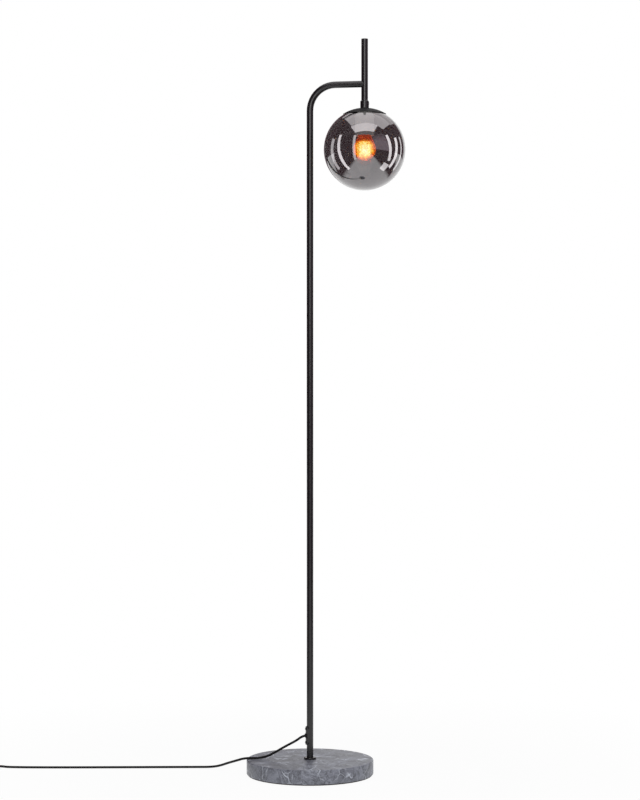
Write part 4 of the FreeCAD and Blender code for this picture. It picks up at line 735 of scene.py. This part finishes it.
class LAMP_OT_cords(bpy.types.Operator):
    """Lay the cord from the pole to the foot switch, and on through its coil to the plug"""
    bl_idname = "lamp.cords"
    bl_label = "Lay the cord"

    def execute(self, context):
        diameter = context.scene.lamp.cord.diameter
        sheath = cord_sheath()
        way = Vector((-math.cos(EXIT_TURN), -math.sin(EXIT_TURN), 0))
        middle = Vector((0, 0, EXIT_HEIGHT * MM))
        route = [middle + way * TUBE_BORE * MM, middle + way * FIRST_REACH * MM]
        route += [Vector(p) * MM for p in (
            (-24.9, -13.5, 67.6), (-47.5, -17.9, 56), (-77.8, -21.7, 37.4), (-97.6, -24.6, 32.6),
            (-125, -27.9, 32.7), (-145.2, -18, 25.2), (-165.8, -3.7, 17.3), (-187.2, 14.6, 7.7),
            (-207.3, 23.8, 3.2), (-232.7, 23.4, ON_FLOOR))]
        route += [by_switch(*p) for p in (
            (99, 0, ON_FLOOR), (76, 0, IN_SWITCH), (SWITCH_END, 0, IN_SWITCH))]
        near = self.lay("cord_to_foot_switch", route, diameter, sheath, "cord_to_switch")
        route = [by_switch(*p) for p in (
            (-SWITCH_END, 0, IN_SWITCH), (-76, 0, IN_SWITCH), (-99, 0, ON_FLOOR),
            (COIL_DOOR, 0, ON_FLOOR))]
        route += coil_points()
        route += [by_switch(*p) for p in (
            (COIL_DOOR, COIL_FAR_SIDE, ON_LAYER), (-112, COIL_FAR_SIDE, ON_LAYER),
            (-103, COIL_FAR_SIDE, IN_PLUG), (PLUG_END, COIL_FAR_SIDE, IN_PLUG))]
        far = self.lay(
            "cord_to_mains_plug", route, diameter, sheath,
            "cord_from_switch", "cord_coil", "cord_to_plug")
        return {"FINISHED"}

    def lay(self, name, route, diameter, sheath, *replaced):
        """One stretch of cord as a NURBS line with the route's points as its control points."""
        curve = bpy.data.curves.new(name, "CURVE")
        curve.dimensions = "3D"
        line = curve.splines.new("NURBS")
        line.points.add(len(route) - 1)
        for point, place in zip(line.points, route):
            point.co = (*place, 1)
        line.order_u = 3
        line.use_endpoint_u = True
        line.resolution_u = 10
        curve.bevel_depth = diameter / 2
        curve.bevel_resolution = 5
        curve.use_fill_caps = True
        curve.materials.append(sheath)
        made = bpy.data.objects.new(name, curve)
        bpy.context.scene.collection.objects.link(made)
        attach(made, "lamp")
        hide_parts(*replaced)
        return made


# ---------------------------------------------------------------- marble

# The recess under the disc, which holds the clamp.
RECESS_RADIUS = 35 * MM
RECESS_DEPTH = 16 * MM
# An edge this near to a place counts as lying there.
NEAR = 0.1 * MM


class LAMP_OT_marble(bpy.types.Operator):
    """Saw the marble disc, round its edges and cut the recess in its underside"""
    bl_idname = "lamp.marble"
    bl_label = "Shape the marble"

    def execute(self, context):
        settings = context.scene.lamp.marble
        low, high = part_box("marble_base")
        radius = (high.x - low.x) / 2
        nothing_selected()
        bpy.ops.mesh.primitive_cylinder_add(
            vertices=192, radius=radius, depth=high.z - low.z, location=(0, 0, (low.z + high.z) / 2))
        bpy.ops.object.transform_apply(location=True)
        bpy.ops.object.mode_set(mode="EDIT")
        # The recess for the clamp: the lower face is drawn in to it and pushed up.
        choose("faces", lambda f: f.normal.z < -0.9)
        bpy.ops.mesh.inset(thickness=radius - RECESS_RADIUS, depth=0)
        bpy.ops.mesh.inset(thickness=0.01 * MM, depth=0)
        bpy.ops.mesh.extrude_region_move(TRANSFORM_OT_translate={"value": (0, 0, RECESS_DEPTH)})
        for height, size, steps in ((high.z, settings.edge, 6), (low.z, settings.foot_edge, 4)):
            choose("edges", lambda e: all(
                abs(v.co.z - height) < NEAR and v.co.to_2d().length > radius - NEAR
                for v in e.verts))
            bpy.ops.mesh.bevel(offset=size, segments=steps, profile=0.5, affect="EDGES")
        piece = settle("marble_disc", "marble", "lamp", "marble_base")
        piece.data.materials.append(grey_marble(settings))
        return {"FINISHED"}


# ---------------------------------------------------------------- globe

class LAMP_OT_globe(bpy.types.Operator):
    """Blow the globe, open its top, give the glass its wall and coat it"""
    bl_idname = "lamp.globe"
    bl_label = "Blow the globe"

    def execute(self, context):
        settings = context.scene.lamp.globe
        low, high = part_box("glass_globe")
        radius = (high.x - low.x) / 2
        centre = Vector(((low.x + high.x) / 2, (low.y + high.y) / 2, low.z + radius))
        nothing_selected()
        bpy.ops.mesh.primitive_uv_sphere_add(
            segments=144, ring_count=96, radius=radius, location=centre)
        bpy.ops.object.transform_apply(location=True)
        bpy.ops.object.mode_set(mode="EDIT")
        bpy.ops.mesh.select_all(action="SELECT")
        rim = centre.z + math.sqrt(radius ** 2 - (settings.hole / 2) ** 2)
        bpy.ops.mesh.bisect(plane_co=(centre.x, centre.y, rim), plane_no=(0, 0, 1), clear_outer=True)
        bpy.ops.object.mode_set(mode="OBJECT")
        piece = bpy.context.object
        piece.data.materials.append(smoked_mirror(settings))
        piece.data.materials.append(bare_glass())
        apply_modifier(
            "SOLIDIFY", thickness=settings.wall, offset=-1, use_even_offset=True, material_offset=1)
        settle("blown_globe", "smoked_mirror_glass", "lamp", "glass_globe")
        self.share_lights(context, piece)
        return {"FINISHED"}

    def share_lights(self, context, piece):
        """Keep the strips for the globe alone, and the soft light by the camera for all else."""
        mirror = bpy.data.collections.new("seen_in_the_globe")
        mirror.objects.link(piece)
        others = bpy.data.collections.new("not_the_globe")
        others.objects.link(piece)
        others.collection_objects[0].light_linking.link_state = "EXCLUDE"
        for light in context.scene.objects:
            if light.name.startswith("strip"):
                light.light_linking.receiver_collection = mirror
            elif light.name == "fill_light":
                light.light_linking.receiver_collection = others


# ---------------------------------------------------------------- finishes of what the frame holds

class LAMP_OT_finishes(bpy.types.Operator):
    """Give every piece of the frame the finish of its material"""
    bl_idname = "lamp.finishes"
    bl_label = "Apply the finishes"

    def execute(self, context):
        settings = context.scene.lamp.globe
        made = {slot: plain_finish(*finish) for slot, finish in FINISHES.items()}
        made["black_steel"] = powder_coat()
        made["clear_glass"] = amber_bulb_glass(settings)
        made["glowing_filament"] = glowing_filament(settings)
        slots = {row["node"]: row["material_slot"] for row in frame["record"]["subparts"]}
        slots["dome_cap"] = "dome_steel"
        for name, node in NODES.items():
            if node.hide_render:
                continue
            if slots[name] not in made:
                raise RuntimeError(f"{name} has no finish")
            for holder in node.material_slots:
                holder.material = made[slots[name]]
        return {"FINISHED"}


# ---------------------------------------------------------------- panel and running

OPERATORS = (LAMP_OT_stage, LAMP_OT_cords, LAMP_OT_marble, LAMP_OT_globe, LAMP_OT_finishes)


class LAMP_PT_panel(bpy.types.Panel):
    """The lamp's steps and settings"""
    bl_idname = "LAMP_PT_panel"
    bl_label = "Globe floor lamp"
    bl_space_type = "VIEW_3D"
    bl_region_type = "UI"
    bl_category = "Globe lamp"

    def draw(self, context):
        for step in OPERATORS:
            self.layout.operator(step.bl_idname)
        settings = context.scene.lamp
        for group in (settings.marble, settings.globe, settings.cord, settings.stage):
            box = self.layout.box()
            for name in group.__annotations__:
                box.prop(group, name)


CLASSES = (
    MarbleSettings, GlobeSettings, CordSettings, StageSettings, LampSettings, *OPERATORS, LAMP_PT_panel)


def register():
    for made in CLASSES:
        bpy.utils.register_class(made)
    bpy.types.Scene.lamp = bpy.props.PointerProperty(
        type=LampSettings, name="Lamp", description="The globe floor lamp's settings")


def unregister():
    del bpy.types.Scene.lamp
    for made in reversed(CLASSES):
        bpy.utils.unregister_class(made)


def main():
    """Build the scene step by step."""
    register()
    bpy.ops.lamp.stage()
    bpy.ops.lamp.cords()
    bpy.ops.lamp.marble()
    bpy.ops.lamp.globe()
    bpy.ops.lamp.finishes()


if __name__ == "__main__":
    main()
